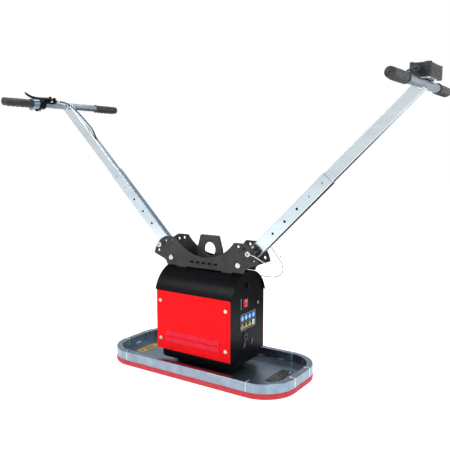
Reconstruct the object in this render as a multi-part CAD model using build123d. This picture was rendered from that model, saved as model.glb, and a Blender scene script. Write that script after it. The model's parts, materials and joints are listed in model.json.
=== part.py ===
from build123d import *
import os
from math import asin, cos, pi, radians, sin, tan

# Two-person battery vacuum lifter for slabs: a suction plate with a red sponge seal, a pump
# housing on it, and two folding, telescoping T-handles on a bracket over the housing.
# Millimetres. Origin on the ground under the plate's centre, X along the plate's long side,
# Z up. The handles' controls are on the ends of the bars: the release lever on the left
# (-X) and the control box on the right (+X). The front side is -Y.

# ---- driving dimensions -------------------------------------------------------------------
PLATE_LENGTH = 700.0
PLATE_WIDTH = 320.0
PLATE_CORNER = 110.0
SEAL_HEIGHT = 18.0
RIM_WIDTH = 20.0
RIM_HEIGHT = 30.0
TUBE_WALL = 2.0
TUBE_CORNER = 1.9
FLOOR_THICKNESS = 3.0
LABEL_THICKNESS = 0.6

PLINTH_TOP = 68.0
SKIRT_HALF_LENGTH = 146.0
SKIRT_HALF_WIDTH = 103.0
SKIRT_CORNER = 40.0
SKIRT_BOTTOM = 43.0
PEDESTAL_HALF_LENGTH = 106.0
PEDESTAL_HALF_WIDTH = 58.0
PEDESTAL_CORNER = 18.0
SHEET = 3.0

HOUSING_HALF_LENGTH = 148.5
PANEL_TOP = 268.5
PANEL_OUTER_Y = 104.5
PANEL_THICKNESS = 2.0
COVER_RADIUS = 108.5
COVER_THICKNESS = 2.0
COVER_CENTRE_Z = 241.5
COVER_EDGE_Z = 270.0
COVER_HALF_LENGTH = 154.5

BRACKET_INNER_Y = 33.5
BRACKET_THICKNESS = 6.0
BRACKET_BOTTOM = 346.0
BRACKET_TOP = 443.0
BRACKET_MID_TOP = 383.0
PIVOT_X = 136.0
PIVOT_Z = 371.0
PIVOT_RADIUS = 6.0
EAR_RADIUS = 76.0
LOCK_RING_RADIUS = 60.0
HANDLE_ANGLE = 44.6
LOCK_ANGLES = (20.0, HANDLE_ANGLE, 67.3, 90.0)
LOCK_PIN_RADIUS = 5.0

EYE_HOLE_RADIUS = 24.0
EYE_HOLE_Z = 407.0
EYE_THICKNESS = 10.0
EYE_TOP = 454.0
BEAM_BOTTOM = 288.0
BEAM_TOP = 330.0

OUTER_TUBE = (40.0, 25.0)
OUTER_TUBE_TOP = 405.4
INNER_TUBE = (35.2, 20.2)
INNER_TUBE_BOTTOM = 325.0
BAR_WALL = 2.0
BAR_CAP = 4.0
HOLE_PITCH = 57.7
FIRST_HOLE = 154.0
HOLE_COUNT = 5
ADJUST_HOLE_RADIUS = 4.2
BAR_POSITION = 764.0
BAR_RADIUS = 12.5
GRIP_RADIUS = 14.5
GRIP_LENGTH = 118.0
LEFT_BAR_ENDS = (-289.0, 261.0)
RIGHT_BAR_ENDS = (-264.0, 264.0)
RUNNING = 0.06
BUTTON_RADIUS = 3.9

# ---- derived dimensions -------------------------------------------------------------------
RIM_BOTTOM = SEAL_HEIGHT
RIM_TOP = RIM_BOTTOM + RIM_HEIGHT
FLOOR_TOP = RIM_BOTTOM + FLOOR_THICKNESS
HALF_LENGTH = PLATE_LENGTH / 2
HALF_WIDTH = PLATE_WIDTH / 2
STRAIGHT_X = HALF_LENGTH - PLATE_CORNER
STRAIGHT_Y = HALF_WIDTH - PLATE_CORNER
PANEL_INNER_Y = PANEL_OUTER_Y - PANEL_THICKNESS
BRACKET_OUTER_Y = BRACKET_INNER_Y + BRACKET_THICKNESS
TUBE_COS = cos(radians(HANDLE_ANGLE))
TUBE_SIN = sin(radians(HANDLE_ANGLE))
BAR_X = PIVOT_X + BAR_POSITION * TUBE_COS
BAR_Z = PIVOT_Z + BAR_POSITION * TUBE_SIN
LOCK_PIN_X = PIVOT_X + LOCK_RING_RADIUS * TUBE_COS
LOCK_PIN_Z = PIVOT_Z + LOCK_RING_RADIUS * TUBE_SIN
BUTTON_HOLE = FIRST_HOLE + (HOLE_COUNT - 1) * HOLE_PITCH
SIDES = (-1, 1)


# ---- small builders -----------------------------------------------------------------------
def block(x_range, y_range, z_range):
    """A box from its three ranges."""
    size = [high - low for low, high in (x_range, y_range, z_range)]
    middle = [(high + low) / 2 for low, high in (x_range, y_range, z_range)]
    return Pos(*middle) * Box(*size)


def rod(start, direction, radius, length):
    """A cylinder that starts at a point and runs along a direction."""
    plane = Plane(origin=start, z_dir=direction)
    return plane * Cylinder(radius, length, align=(Align.CENTER, Align.CENTER, Align.MIN))


def ring(start, direction, outer, inner, length):
    return rod(start, direction, outer, length) - rod(start, direction, inner, length)


def across(x, z, radius, y_low, y_high):
    """A cylinder along Y."""
    return rod((x, y_low, z), (0, 1, 0), radius, y_high - y_low)


def hexagon(start, direction, across_flats, height):
    plane = Plane(origin=start, z_dir=direction)
    outline = RegularPolygon(across_flats / 2, 6, major_radius=False)
    return plane * extrude(outline, height)


def rounded_slab(half_x, half_y, corner, z_low, z_high):
    outline = RectangleRounded(2 * half_x, 2 * half_y, corner)
    return Pos(0, 0, z_low) * extrude(outline, z_high - z_low)


def mirrored(shape):
    """The same piece on the left side."""
    return mirror(shape, about=Plane.YZ)


def group(shapes):
    """Separate solids of one kind of piece."""
    solids = []
    for shape in shapes:
        solids.extend(shape.solids())
    return Compound(children=solids)


def handle_plane(along=0.0):
    """Right handle: x along the tube, y across it, z out of its upper face."""
    origin = (PIVOT_X + along * TUBE_COS, 0, PIVOT_Z + along * TUBE_SIN)
    return Plane(origin=origin, x_dir=(TUBE_COS, 0, TUBE_SIN), z_dir=(-TUBE_SIN, 0, TUBE_COS))


def corner_radii(points):
    """The largest arc that each corner's two runs allow."""
    vectors = [Vector(*point) for point in points]
    radii = []
    for before, corner, after in zip(vectors, vectors[1:], vectors[2:]):
        turn = radians((corner - before).get_angle(after - corner))
        shorter = min((corner - before).length, (after - corner).length)
        radii.append(0.45 * shorter / tan(turn / 2))
    return radii


def cord(name, points, diameter):
    """A round cord of straight runs and tangent arcs through a list of points."""
    radii = corner_radii(points)
    path = FilletPolyline(*points, radius=radii)
    section = Plane(origin=path @ 0, z_dir=path % 0) * Circle(diameter / 2)
    solid = sweep(section, path=path)
    expected = pi * diameter ** 2 / 4 * path.length
    shown = ", ".join(f"{radius:.0f}" for radius in radii)
    print(f"{name}: length {path.length:.0f}, radii {shown}, volume ratio {solid.volume / expected:.3f}")
    return solid


# ---- suction plate ------------------------------------------------------------------------
def seal_ring():
    outer = rounded_slab(HALF_LENGTH, HALF_WIDTH, PLATE_CORNER, 0, SEAL_HEIGHT)
    inner = rounded_slab(HALF_LENGTH - RIM_WIDTH, HALF_WIDTH - RIM_WIDTH,
                         PLATE_CORNER - RIM_WIDTH, 0, SEAL_HEIGHT)
    return outer - inner


def suction_plate():
    floor = rounded_slab(HALF_LENGTH - RIM_WIDTH, HALF_WIDTH - RIM_WIDTH,
                         PLATE_CORNER - RIM_WIDTH, RIM_BOTTOM, FLOOR_TOP)
    return floor - rod((0, 0, RIM_BOTTOM), (0, 0, 1), PORT_HOLE_RADIUS, FLOOR_THICKNESS)


def square_rail(x_range, y_range, along):
    """One straight rim rail: rectangular tube, open at both ends."""
    rail = block(x_range, y_range, (RIM_BOTTOM, RIM_TOP))
    long_edges = rail.edges().filter_by(Axis.X if along == "x" else Axis.Y)
    rail = fillet(long_edges.group_by(Axis.Z)[-1], TUBE_CORNER)
    hollow_z = (RIM_BOTTOM + TUBE_WALL, RIM_TOP - TUBE_WALL)
    if along == "x":
        hollow_y = (y_range[0] + TUBE_WALL, y_range[1] - TUBE_WALL)
        return rail - block(x_range, hollow_y, hollow_z)
    hollow_x = (x_range[0] + TUBE_WALL, x_range[1] - TUBE_WALL)
    return rail - block(hollow_x, y_range, hollow_z)


def rim_rails():
    rails = []
    for side in SIDES:
        y_edges = sorted((side * HALF_WIDTH, side * (HALF_WIDTH - RIM_WIDTH)))
        x_edges = sorted((side * HALF_LENGTH, side * (HALF_LENGTH - RIM_WIDTH)))
        rails.append(square_rail((-STRAIGHT_X, STRAIGHT_X), y_edges, "x"))
        rails.append(square_rail(x_edges, (-STRAIGHT_Y, STRAIGHT_Y), "y"))
    return group(rails)


def rim_corners():
    """Four quarter bends of the same tube between the rails."""
    outer, inner = PLATE_CORNER, PLATE_CORNER - RIM_WIDTH
    tube = ring((0, 0, RIM_BOTTOM), (0, 0, 1), outer, inner, RIM_HEIGHT)
    tube = fillet(tube.edges().filter_by(GeomType.CIRCLE).group_by(Axis.Z)[-1], TUBE_CORNER)
    tube -= ring((0, 0, RIM_BOTTOM + TUBE_WALL), (0, 0, 1), outer - TUBE_WALL, inner + TUBE_WALL,
                 RIM_HEIGHT - 2 * TUBE_WALL)
    corners = []
    for side_x in SIDES:
        for side_y in SIDES:
            x_range = sorted((0, side_x * outer))
            y_range = sorted((0, side_y * outer))
            quarter = tube & block(x_range, y_range, (RIM_BOTTOM, RIM_TOP))
            corners.append(Pos(side_x * STRAIGHT_X, side_y * STRAIGHT_Y, 0) * quarter)
    return group(corners)


CAUTION_X, CAUTION_Y = (-272.0, -242.0), (-75.0, 20.0)
DATA_X, DATA_Y = (249.0, 292.0), (-58.0, 55.0)
PICTOGRAM_Y, PICTOGRAM_Z = (-43.0, 49.0), (157.0, 211.0)


def label_plates():
    """Two thin plates on the plate's floor and one on the right end panel."""
    floor_z = (FLOOR_TOP, FLOOR_TOP + LABEL_THICKNESS)
    end_x = (HOUSING_HALF_LENGTH, HOUSING_HALF_LENGTH + LABEL_THICKNESS)
    caution = block(CAUTION_X, CAUTION_Y, floor_z)
    data = block(DATA_X, DATA_Y, floor_z)
    pictograms = block(end_x, PICTOGRAM_Y, PICTOGRAM_Z)
    return group([caution, data, pictograms])


# ---- suction port -------------------------------------------------------------------------
PORT_HOLE_RADIUS = 25.0
PORT_NECK_RADIUS = 11.0
PORT_BORE_RADIUS = 5.5
PORT_FLANGE_RADIUS = 36.0
PORT_FLANGE_THICKNESS = 5.0
PORT_TOP = 88.0
GASKET_THICKNESS = 2.0


def port_gasket():
    return ring((0, 0, FLOOR_TOP), (0, 0, 1), PORT_FLANGE_RADIUS, PORT_HOLE_RADIUS, GASKET_THICKNESS)


def port_fitting():
    """Flanged spigot that leads the suction from the plate's hole into the housing."""
    base = FLOOR_TOP + GASKET_THICKNESS
    fitting = rod((0, 0, base), (0, 0, 1), PORT_FLANGE_RADIUS, PORT_FLANGE_THICKNESS)
    fitting += rod((0, 0, base), (0, 0, 1), PORT_NECK_RADIUS, PORT_TOP - base)
    return fitting - rod((0, 0, base), (0, 0, 1), PORT_BORE_RADIUS, PORT_TOP - base)


# ---- plinth and its bolts -----------------------------------------------------------------
STUD_X = 131.0
STUD_Y = 66.0
STUD_RADIUS = 4.0
STUD_HOLE_RADIUS = 4.4
FLANGE_LENGTH = 28.0
BOLT_HEAD_RADIUS = 7.0
BOLT_HEAD_HEIGHT = 5.0
NUT_FLATS = 13.0
NUT_HEIGHT = 6.5
WASHER_RADIUS = 8.0
WASHER_THICKNESS = 1.5


def stud_places():
    return [(x * STUD_X, y * STUD_Y) for x in SIDES for y in SIDES]


def sheet_box(half_x, half_y, corner, z_low, z_high):
    """A rounded sheet-metal box, open below."""
    outer = rounded_slab(half_x, half_y, corner, z_low, z_high)
    return outer - rounded_slab(half_x - SHEET, half_y - SHEET, corner - SHEET, z_low, z_high - SHEET)


def plinth():
    """Black base: a skirt under the housing, on a narrower pedestal welded to the plate's floor."""
    box = sheet_box(SKIRT_HALF_LENGTH, SKIRT_HALF_WIDTH, SKIRT_CORNER, SKIRT_BOTTOM, PLINTH_TOP)
    box += sheet_box(PEDESTAL_HALF_LENGTH, PEDESTAL_HALF_WIDTH, PEDESTAL_CORNER, FLOOR_TOP, PLINTH_TOP)
    box -= rod((0, 0, FLOOR_TOP), (0, 0, 1), PORT_NECK_RADIUS + 0.5, PLINTH_TOP)
    for x, y in stud_places():
        box -= rod((x, y, FLOOR_TOP), (0, 0, 1), STUD_HOLE_RADIUS, PLINTH_TOP)
    return box


def plinth_bolts():
    """Bolts up through the plinth's top that hold the end panels down."""
    under = PLINTH_TOP - SHEET
    bolts = []
    for x, y in stud_places():
        head = rod((x, y, under - BOLT_HEAD_HEIGHT), (0, 0, 1), BOLT_HEAD_RADIUS, BOLT_HEAD_HEIGHT)
        bolts.append(head + rod((x, y, under), (0, 0, 1), STUD_RADIUS, 2 * SHEET + 10))
    return group(bolts)


def plinth_nuts():
    nuts = []
    for x, y in stud_places():
        base = PLINTH_TOP + SHEET
        nut = rod((x, y, base), (0, 0, 1), WASHER_RADIUS, WASHER_THICKNESS)
        nut += hexagon((x, y, base + WASHER_THICKNESS), (0, 0, 1), NUT_FLATS, NUT_HEIGHT)
        nuts.append(nut - rod((x, y, base), (0, 0, 1), STUD_RADIUS, WASHER_THICKNESS + NUT_HEIGHT))
    return group(nuts)


# ---- housing ------------------------------------------------------------------------------
PANEL_SCREW_X = 132.0
PANEL_SCREW_Z = (104.5, 235.0)
PANEL_SCREW_RADIUS = 2.9
PANEL_SCREW_HEAD = (6.5, 3.2)
PANEL_SCREW_SOCKET = (4.0, 1.8)
SIDE_FLANGE_WIDTH = 27.0
FOOT_HALF_WIDTH = 85.0
LOUVRE_HEIGHTS = ((98.0, 111.5), (119.0, 133.0))
LOUVRE_HALF_LENGTH = 108.0
LOUVRE_DEPTH = 4.5
END_ARCH_RADIUS = COVER_RADIUS - COVER_THICKNESS - 0.3
BEAM_BOLT_Z = 300.0
BEAM_HALF_LENGTH = HOUSING_HALF_LENGTH - SHEET
SWITCH_Y = (-31.0, -1.0)
SWITCH_Z = (230.0, 262.0)
SOCKET_Y = -14.0
SOCKET_Z = 132.0
SOCKET_RADIUS = 9.0
SOCKET_BORE_RADIUS = 5.5


def end_panel():
    """Right end panel: arched plate, side flanges for the red panels, foot flange."""
    inner_x = HOUSING_HALF_LENGTH - SHEET
    plate = block((inner_x, HOUSING_HALF_LENGTH), (-PANEL_INNER_Y, PANEL_INNER_Y), (PLINTH_TOP, PANEL_TOP))
    arch = rod((inner_x, 0, COVER_CENTRE_Z), (1, 0, 0), END_ARCH_RADIUS, SHEET)
    arch &= block((0, COVER_HALF_LENGTH), (-COVER_RADIUS, COVER_RADIUS), (PANEL_TOP, 400))
    panel = plate + arch
    flange_x = (inner_x - SIDE_FLANGE_WIDTH, inner_x)
    for side in SIDES:
        flange_y = sorted((side * PANEL_INNER_Y, side * (PANEL_INNER_Y - SHEET)))
        panel += block(flange_x, flange_y, (PLINTH_TOP + SHEET, PANEL_TOP - 4))
        for z in PANEL_SCREW_Z:
            panel -= rod((PANEL_SCREW_X, 0, z), (0, side, 0), PANEL_SCREW_RADIUS, PANEL_OUTER_Y)
    foot = block((inner_x - FLANGE_LENGTH, inner_x), (-FOOT_HALF_WIDTH, FOOT_HALF_WIDTH),
                 (PLINTH_TOP, PLINTH_TOP + SHEET))
    for side in SIDES:
        foot -= rod((STUD_X, side * STUD_Y, PLINTH_TOP), (0, 0, 1), STUD_HOLE_RADIUS, SHEET)
    panel += foot
    return panel - rod((inner_x, 0, BEAM_BOLT_Z), (1, 0, 0), STUD_HOLE_RADIUS, SHEET)


def end_panel_right():
    panel = end_panel()
    panel -= block((140, 150), (SWITCH_Y[0] + 2, SWITCH_Y[1] - 2), (SWITCH_Z[0] + 1, SWITCH_Z[1] - 1))
    return panel - rod((140, SOCKET_Y, SOCKET_Z), (1, 0, 0), SOCKET_RADIUS, 10)


def louvre(z_low, z_high):
    """A pressed louvre: its face leans out towards its lower edge."""
    face_y = -PANEL_OUTER_Y
    outline = Polyline((face_y, z_high), (face_y - LOUVRE_DEPTH, z_low + 1), (face_y - LOUVRE_DEPTH, z_low),
                       (face_y, z_low), close=True)
    return Pos(-LOUVRE_HALF_LENGTH, 0, 0) * extrude(Plane.YZ * make_face(outline), 2 * LOUVRE_HALF_LENGTH)


def side_panel():
    """Red front panel with two pressed louvres near its foot."""
    panel = block((-HOUSING_HALF_LENGTH, HOUSING_HALF_LENGTH), (-PANEL_OUTER_Y, -PANEL_INNER_Y),
                  (PLINTH_TOP + 0.5, PANEL_TOP))
    for z_low, z_high in LOUVRE_HEIGHTS:
        panel += louvre(z_low, z_high)
    for side in SIDES:
        for z in PANEL_SCREW_Z:
            panel -= across(side * PANEL_SCREW_X, z, PANEL_SCREW_RADIUS + 0.2, -PANEL_OUTER_Y, 0)
    return panel


def panel_screws():
    """Round-headed socket screws that hold the red panels."""
    head_radius, head_height = PANEL_SCREW_HEAD
    socket_flats, socket_depth = PANEL_SCREW_SOCKET
    screws = []
    for x in SIDES:
        for y in SIDES:
            for z in PANEL_SCREW_Z:
                place = (x * PANEL_SCREW_X, y * PANEL_OUTER_Y, z)
                screw = rod(place, (0, y, 0), head_radius, head_height)
                screw = fillet(screw.edges().group_by(Axis.Y)[0 if y < 0 else -1], 2.2)
                head_face = (place[0], place[1] + y * head_height, z)
                screw -= hexagon(head_face, (0, -y, 0), socket_flats, socket_depth)
                shank = rod((place[0], y * (PANEL_INNER_Y - SHEET - 6), z), (0, y, 0),
                            PANEL_SCREW_RADIUS, PANEL_THICKNESS + SHEET + 6)
                screws.append(screw + shank)
    return group(screws)


def top_cover():
    """Barrel-shaped cover sheet, with slots for the bracket's tabs and the lifting eye."""
    length = 2 * COVER_HALF_LENGTH
    start = (-COVER_HALF_LENGTH, 0, COVER_CENTRE_Z)
    shell = ring(start, (1, 0, 0), COVER_RADIUS, COVER_RADIUS - COVER_THICKNESS, length)
    above = block((-200, 200), (-150, 150), (COVER_EDGE_Z, 400))
    shell &= above
    for x in SIDES:
        for y in SIDES:
            tab_x = sorted((x * (TAB_X[0] - 1), x * (TAB_X[1] + 1)))
            slot_y = sorted((y * (BRACKET_INNER_Y - 1), y * (BRACKET_OUTER_Y + 1)))
            shell -= block(tab_x, slot_y, (300, 360))
    eye_slot_x = EYE_FOOT_HALF + 1
    shell -= block((-eye_slot_x, eye_slot_x), (-EYE_THICKNESS / 2 - 0.5, EYE_THICKNESS / 2 + 0.5), (320, 360))
    return shell - rod(cable_entry(-20), CABLE_ENTRY_DIRECTION, GROMMET_RADIUS, 30)


def top_beam():
    """Inverted channel under the cover: it hangs the housing from the bracket."""
    half = BRACKET_INNER_Y
    beam = block((-BEAM_HALF_LENGTH, BEAM_HALF_LENGTH), (-half, half), (BEAM_BOTTOM, BEAM_TOP))
    inner_x = BEAM_HALF_LENGTH - SHEET
    beam -= block((-inner_x, inner_x), (SHEET - half, half - SHEET), (BEAM_BOTTOM, BEAM_TOP - SHEET))
    for side in SIDES:
        beam -= rod((side * inner_x, 0, BEAM_BOLT_Z), (side, 0, 0), STUD_HOLE_RADIUS, SHEET)
        beam -= across(side * TAB_MIDDLE, TAB_BOLT_Z, STUD_HOLE_RADIUS, -half, half)
    return beam


def beam_bolts():
    """One bolt and nut through each end panel into the beam."""
    bolts = []
    for side in SIDES:
        face = side * HOUSING_HALF_LENGTH
        bolt = rod((face, 0, BEAM_BOLT_Z), (side, 0, 0), BOLT_HEAD_RADIUS, 4)
        bolt += rod((face, 0, BEAM_BOLT_Z), (-side, 0, 0), STUD_RADIUS, 2 * SHEET + 9)
        nut_face = face - side * 2 * SHEET
        nut = hexagon((nut_face, 0, BEAM_BOLT_Z), (-side, 0, 0), NUT_FLATS, NUT_HEIGHT)
        nut -= rod((nut_face, 0, BEAM_BOLT_Z), (-side, 0, 0), STUD_RADIUS, NUT_HEIGHT)
        bolts.extend([bolt, nut])
    return group(bolts)


# ---- handle bracket and lifting eye -------------------------------------------------------
TAB_X = (72.0, 112.0)
TAB_MIDDLE = (TAB_X[0] + TAB_X[1]) / 2
TAB_BOTTOM = 300.0
TAB_BOLT_Z = 312.0
EYE_FOOT_HALF = 50.5
EYE_TOP_HALF = 36.5
EYE_SHOULDER_Z = 406.0
FLAT_TOP_INNER_X = 120.0
EAR_TIP_ANGLE = 7.0
PIVOT_BOLT_HEAD = 4.0
WAIST_SLOT_Z = 364.0
WAIST_SLOT_PITCH = 24.0
WAIST_SLOT = (16.0, 7.0)
SHOULDER_LOW = (155.0, BRACKET_BOTTOM)
SHOULDER_MIDDLE = (161.5, 359.0)
SHOULDER_HIGH = (174.0, 366.0)
PIVOT_HEAD_RADIUS = 9.5
PIVOT_NUT_FLATS = 18.0
PIVOT_NUT_HEIGHT = 9.0
SLEEVE_RADIUS = 9.0


def bracket_profile():
    """Outline of one bracket plate: two ears joined by a low waist."""
    rise = BRACKET_TOP - BRACKET_MID_TOP
    waist_radius = (FLAT_TOP_INNER_X ** 2 + rise ** 2) / (2 * rise)
    waist_angle = asin(FLAT_TOP_INNER_X / waist_radius) / 2
    waist_mid = (waist_radius * sin(waist_angle),
                 BRACKET_MID_TOP + waist_radius * (1 - cos(waist_angle)))
    tip_angle = radians(EAR_TIP_ANGLE)
    top_angle = asin((BRACKET_TOP - PIVOT_Z) / EAR_RADIUS)
    ear = [(PIVOT_X + EAR_RADIUS * cos(angle), PIVOT_Z + EAR_RADIUS * sin(angle))
           for angle in (tip_angle, (tip_angle + top_angle) / 2, top_angle)]
    half = (
        Line((0, BRACKET_BOTTOM), SHOULDER_LOW)
        + ThreePointArc(SHOULDER_LOW, SHOULDER_MIDDLE, SHOULDER_HIGH)
        + Line(SHOULDER_HIGH, ear[0])
        + ThreePointArc(*ear)
        + Line(ear[2], (FLAT_TOP_INNER_X, BRACKET_TOP))
        + ThreePointArc((FLAT_TOP_INNER_X, BRACKET_TOP), waist_mid, (0, BRACKET_MID_TOP))
        + Line((0, BRACKET_MID_TOP), (0, BRACKET_BOTTOM))
    )
    return make_face(half)


def bracket_plate():
    """Front bracket plate, with lock holes, slots in its waist and two tabs below."""
    half = bracket_profile()
    half += Pos(TAB_MIDDLE, (TAB_BOTTOM + BRACKET_BOTTOM) / 2 + 1) * Rectangle(
        TAB_X[1] - TAB_X[0], BRACKET_BOTTOM - TAB_BOTTOM + 2)
    half -= Pos(PIVOT_X, PIVOT_Z) * Circle(PIVOT_RADIUS + RUNNING)
    half -= Pos(TAB_MIDDLE, TAB_BOLT_Z) * Circle(STUD_HOLE_RADIUS)
    for angle in LOCK_ANGLES:
        lock_hole = (PIVOT_X + LOCK_RING_RADIUS * cos(radians(angle)),
                     PIVOT_Z + LOCK_RING_RADIUS * sin(radians(angle)))
        half -= Pos(*lock_hole) * Circle(LOCK_PIN_RADIUS + 0.2)
    whole = half + mirror(half, about=Plane.YZ)
    for place in (-2, -1, 0, 1, 2):
        whole -= Pos(place * WAIST_SLOT_PITCH, WAIST_SLOT_Z) * SlotOverall(*WAIST_SLOT)
    plate = extrude(Plane.XZ * whole, BRACKET_THICKNESS)
    return Pos(0, -BRACKET_INNER_Y, 0) * plate


def bracket_bolts():
    """Four bolts with nuts through the tabs into the beam."""
    bolts = []
    for x in SIDES:
        for y in SIDES:
            place = (x * TAB_MIDDLE, y * BRACKET_OUTER_Y, TAB_BOLT_Z)
            bolt = hexagon(place, (0, y, 0), NUT_FLATS, 5.3) + rod(place, (0, -y, 0), STUD_RADIUS, 20)
            nut_place = (place[0], y * (BRACKET_INNER_Y - SHEET), TAB_BOLT_Z)
            nut = hexagon(nut_place, (0, -y, 0), NUT_FLATS, NUT_HEIGHT)
            nut -= rod(nut_place, (0, -y, 0), STUD_RADIUS, NUT_HEIGHT)
            bolts.extend([bolt, nut])
    return group(bolts)


def lifting_eye():
    """Crane eye standing on the beam between the bracket plates."""
    right_edge = [(0, BEAM_TOP), (EYE_FOOT_HALF, BEAM_TOP), (EYE_FOOT_HALF, EYE_SHOULDER_Z),
                  (EYE_TOP_HALF, EYE_TOP), (0, EYE_TOP)]
    left_edge = [(-x, z) for x, z in reversed(right_edge[1:-1])]
    outline = make_face(Polyline(*right_edge, *left_edge, close=True))
    outline -= Pos(0, EYE_HOLE_Z) * Circle(EYE_HOLE_RADIUS)
    return Pos(0, EYE_THICKNESS / 2, 0) * extrude(Plane.XZ * outline, EYE_THICKNESS)


def pivot_bolts():
    bolts = []
    for side in SIDES:
        x = side * PIVOT_X
        bolt = across(x, PIVOT_Z, PIVOT_RADIUS, -BRACKET_OUTER_Y, BRACKET_OUTER_Y + 12)
        head = across(x, PIVOT_Z, PIVOT_HEAD_RADIUS, -BRACKET_OUTER_Y - PIVOT_BOLT_HEAD, -BRACKET_OUTER_Y)
        head = fillet(head.edges().group_by(Axis.Y)[0], 2.5)
        bolts.append(bolt + head)
    return group(bolts)


def pivot_nuts():
    nuts = []
    for side in SIDES:
        place = (side * PIVOT_X, BRACKET_OUTER_Y, PIVOT_Z)
        nut = hexagon(place, (0, 1, 0), PIVOT_NUT_FLATS, PIVOT_NUT_HEIGHT)
        nuts.append(nut - rod(place, (0, 1, 0), PIVOT_RADIUS, PIVOT_NUT_HEIGHT))
    return group(nuts)


def pivot_spacers():
    """Sleeves that centre each handle tube between the bracket plates."""
    sleeves = []
    inner_end = OUTER_TUBE[1] / 2 + 0.4
    for x in SIDES:
        for y in SIDES:
            place = (x * PIVOT_X, y * inner_end, PIVOT_Z)
            sleeves.append(ring(place, (0, y, 0), SLEEVE_RADIUS, PIVOT_RADIUS + RUNNING,
                                BRACKET_INNER_Y - inner_end))
    return group(sleeves)


# ---- things inside the housing ------------------------------------------------------------
BATTERY_X = (-132.0, -38.0)
BATTERY_HALF_WIDTH = 58.0
BATTERY_BOTTOM = PLINTH_TOP
BATTERY_TOP = 205.0
PUMP_Y = -52.0
PUMP_Z = 116.0
MOTOR_RADIUS = 30.0
MOTOR_FRONT_X = 48.0
MOTOR_LENGTH = 72.0
SHAFT_RADIUS = 4.0
HEAD_HALF_WIDTH = 28.0
HEAD_BACK_X = 4.0
HEAD_TOP_ABOVE = 42.0
HEAD_BOTTOM_BELOW = 34.0
CRANKCASE_RADIUS = 24.0
NOZZLE_Y = 14.0
ECCENTRIC_RADIUS = 15.0
ECCENTRIC_OFFSET = 4.0
STRAP_X = (-100.0, -78.0)
STRAP_THICKNESS = 2.0
VALVE_PLACE = (4.0, 66.0)
VALVE_BORE = 8.0
VALVE_HALF_X = 15.0
VALVE_HALF_Y = 16.0
VALVE_BODY_TOP = 112.0
BRIDGE_UNDERSIDE = 164.0
BRIDGE_THICKNESS = 4.0
PLUNGER_SHOULDER = 122.0
STEM_RADIUS = 3.0
FILTER_PLACE = (90.0, 58.0)
FILTER_TOP = 125.0
HOSE_DIAMETER = 10.0
HOSE_TOP = 190.0


def battery_pack():
    body = block(BATTERY_X, (-BATTERY_HALF_WIDTH, BATTERY_HALF_WIDTH), (BATTERY_BOTTOM, BATTERY_TOP))
    body = fillet(body.edges().filter_by(Axis.Z), 8)
    for side in SIDES:
        body += rod((BATTERY_X[1] - 15, side * 25, BATTERY_TOP), (0, 0, 1), 5, 8)
    foot_x = (BATTERY_X[0], HOUSING_HALF_LENGTH * -1 + SHEET + FLANGE_LENGTH + 0.5)
    return body - block((foot_x[0] - 1, foot_x[1]), (-90, 90), (BATTERY_BOTTOM, BATTERY_BOTTOM + 12))


def battery_strap():
    """Steel strap over the battery, bolted to the plinth on both sides."""
    inner = BATTERY_HALF_WIDTH + 0.3
    outer = inner + STRAP_THICKNESS
    top = BATTERY_TOP + 0.3
    strap = block(STRAP_X, (-outer, outer), (PLINTH_TOP, top + STRAP_THICKNESS))
    strap -= block(STRAP_X, (-inner, inner), (PLINTH_TOP, top))
    for side in SIDES:
        foot_y = sorted((side * outer, side * (outer + 18)))
        strap += block(STRAP_X, foot_y, (PLINTH_TOP, PLINTH_TOP + STRAP_THICKNESS))
    return strap


def pump_cradle():
    """Saddle that carries the pump motor on the plinth."""
    cradle = block((55, 108), (PUMP_Y - HEAD_HALF_WIDTH, PUMP_Y + HEAD_HALF_WIDTH), (PLINTH_TOP, PUMP_Z - 14))
    return cradle - rod((MOTOR_FRONT_X, PUMP_Y, PUMP_Z), (1, 0, 0), MOTOR_RADIUS, MOTOR_LENGTH)


def pump_motor():
    face = (MOTOR_FRONT_X, PUMP_Y, PUMP_Z)
    motor = rod(face, (1, 0, 0), MOTOR_RADIUS, MOTOR_LENGTH)
    motor = chamfer(motor.edges().group_by(Axis.X)[-1], 4)
    return motor - rod(face, (1, 0, 0), SHAFT_RADIUS + RUNNING, 14)


def pump_head():
    """Diaphragm pump head: a hollow block over the eccentric, with two nozzles on top."""
    top = PUMP_Z + HEAD_TOP_ABOVE
    head = block((HEAD_BACK_X, MOTOR_FRONT_X), (PUMP_Y - HEAD_HALF_WIDTH, PUMP_Y + HEAD_HALF_WIDTH),
                 (PUMP_Z - HEAD_BOTTOM_BELOW, top))
    head -= rod((HEAD_BACK_X + 6, PUMP_Y, PUMP_Z), (1, 0, 0), CRANKCASE_RADIUS, 38)
    for side in SIDES:
        head += rod((26, PUMP_Y + side * NOZZLE_Y, top), (0, 0, 1), 4, 12)
    return head


def pump_rotor():
    """Motor shaft with its eccentric."""
    shaft = rod((14, PUMP_Y, PUMP_Z), (1, 0, 0), SHAFT_RADIUS, 46)
    return shaft + rod((22, PUMP_Y, PUMP_Z + ECCENTRIC_OFFSET), (1, 0, 0), ECCENTRIC_RADIUS, 12)


def vacuum_filter():
    x, y = FILTER_PLACE
    bowl = rod((x, y, PLINTH_TOP), (0, 0, 1), 20, 30)
    bowl = chamfer(bowl.edges().group_by(Axis.Z)[0], 5)
    return bowl + rod((x, y, PLINTH_TOP + 30), (0, 0, 1), 22, 12) + rod(
        (x, y, PLINTH_TOP + 42), (0, 0, 1), 8, FILTER_TOP - PLINTH_TOP - 42)


def vacuum_hose():
    """Suction hose from the port fitting up and over to the filter."""
    x, y = FILTER_PLACE
    points = [(0, 0, PORT_TOP), (0, 0, HOSE_TOP), (x, y, HOSE_TOP), (x, y, FILTER_TOP)]
    return cord("vacuum_hose", points, HOSE_DIAMETER)


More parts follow.
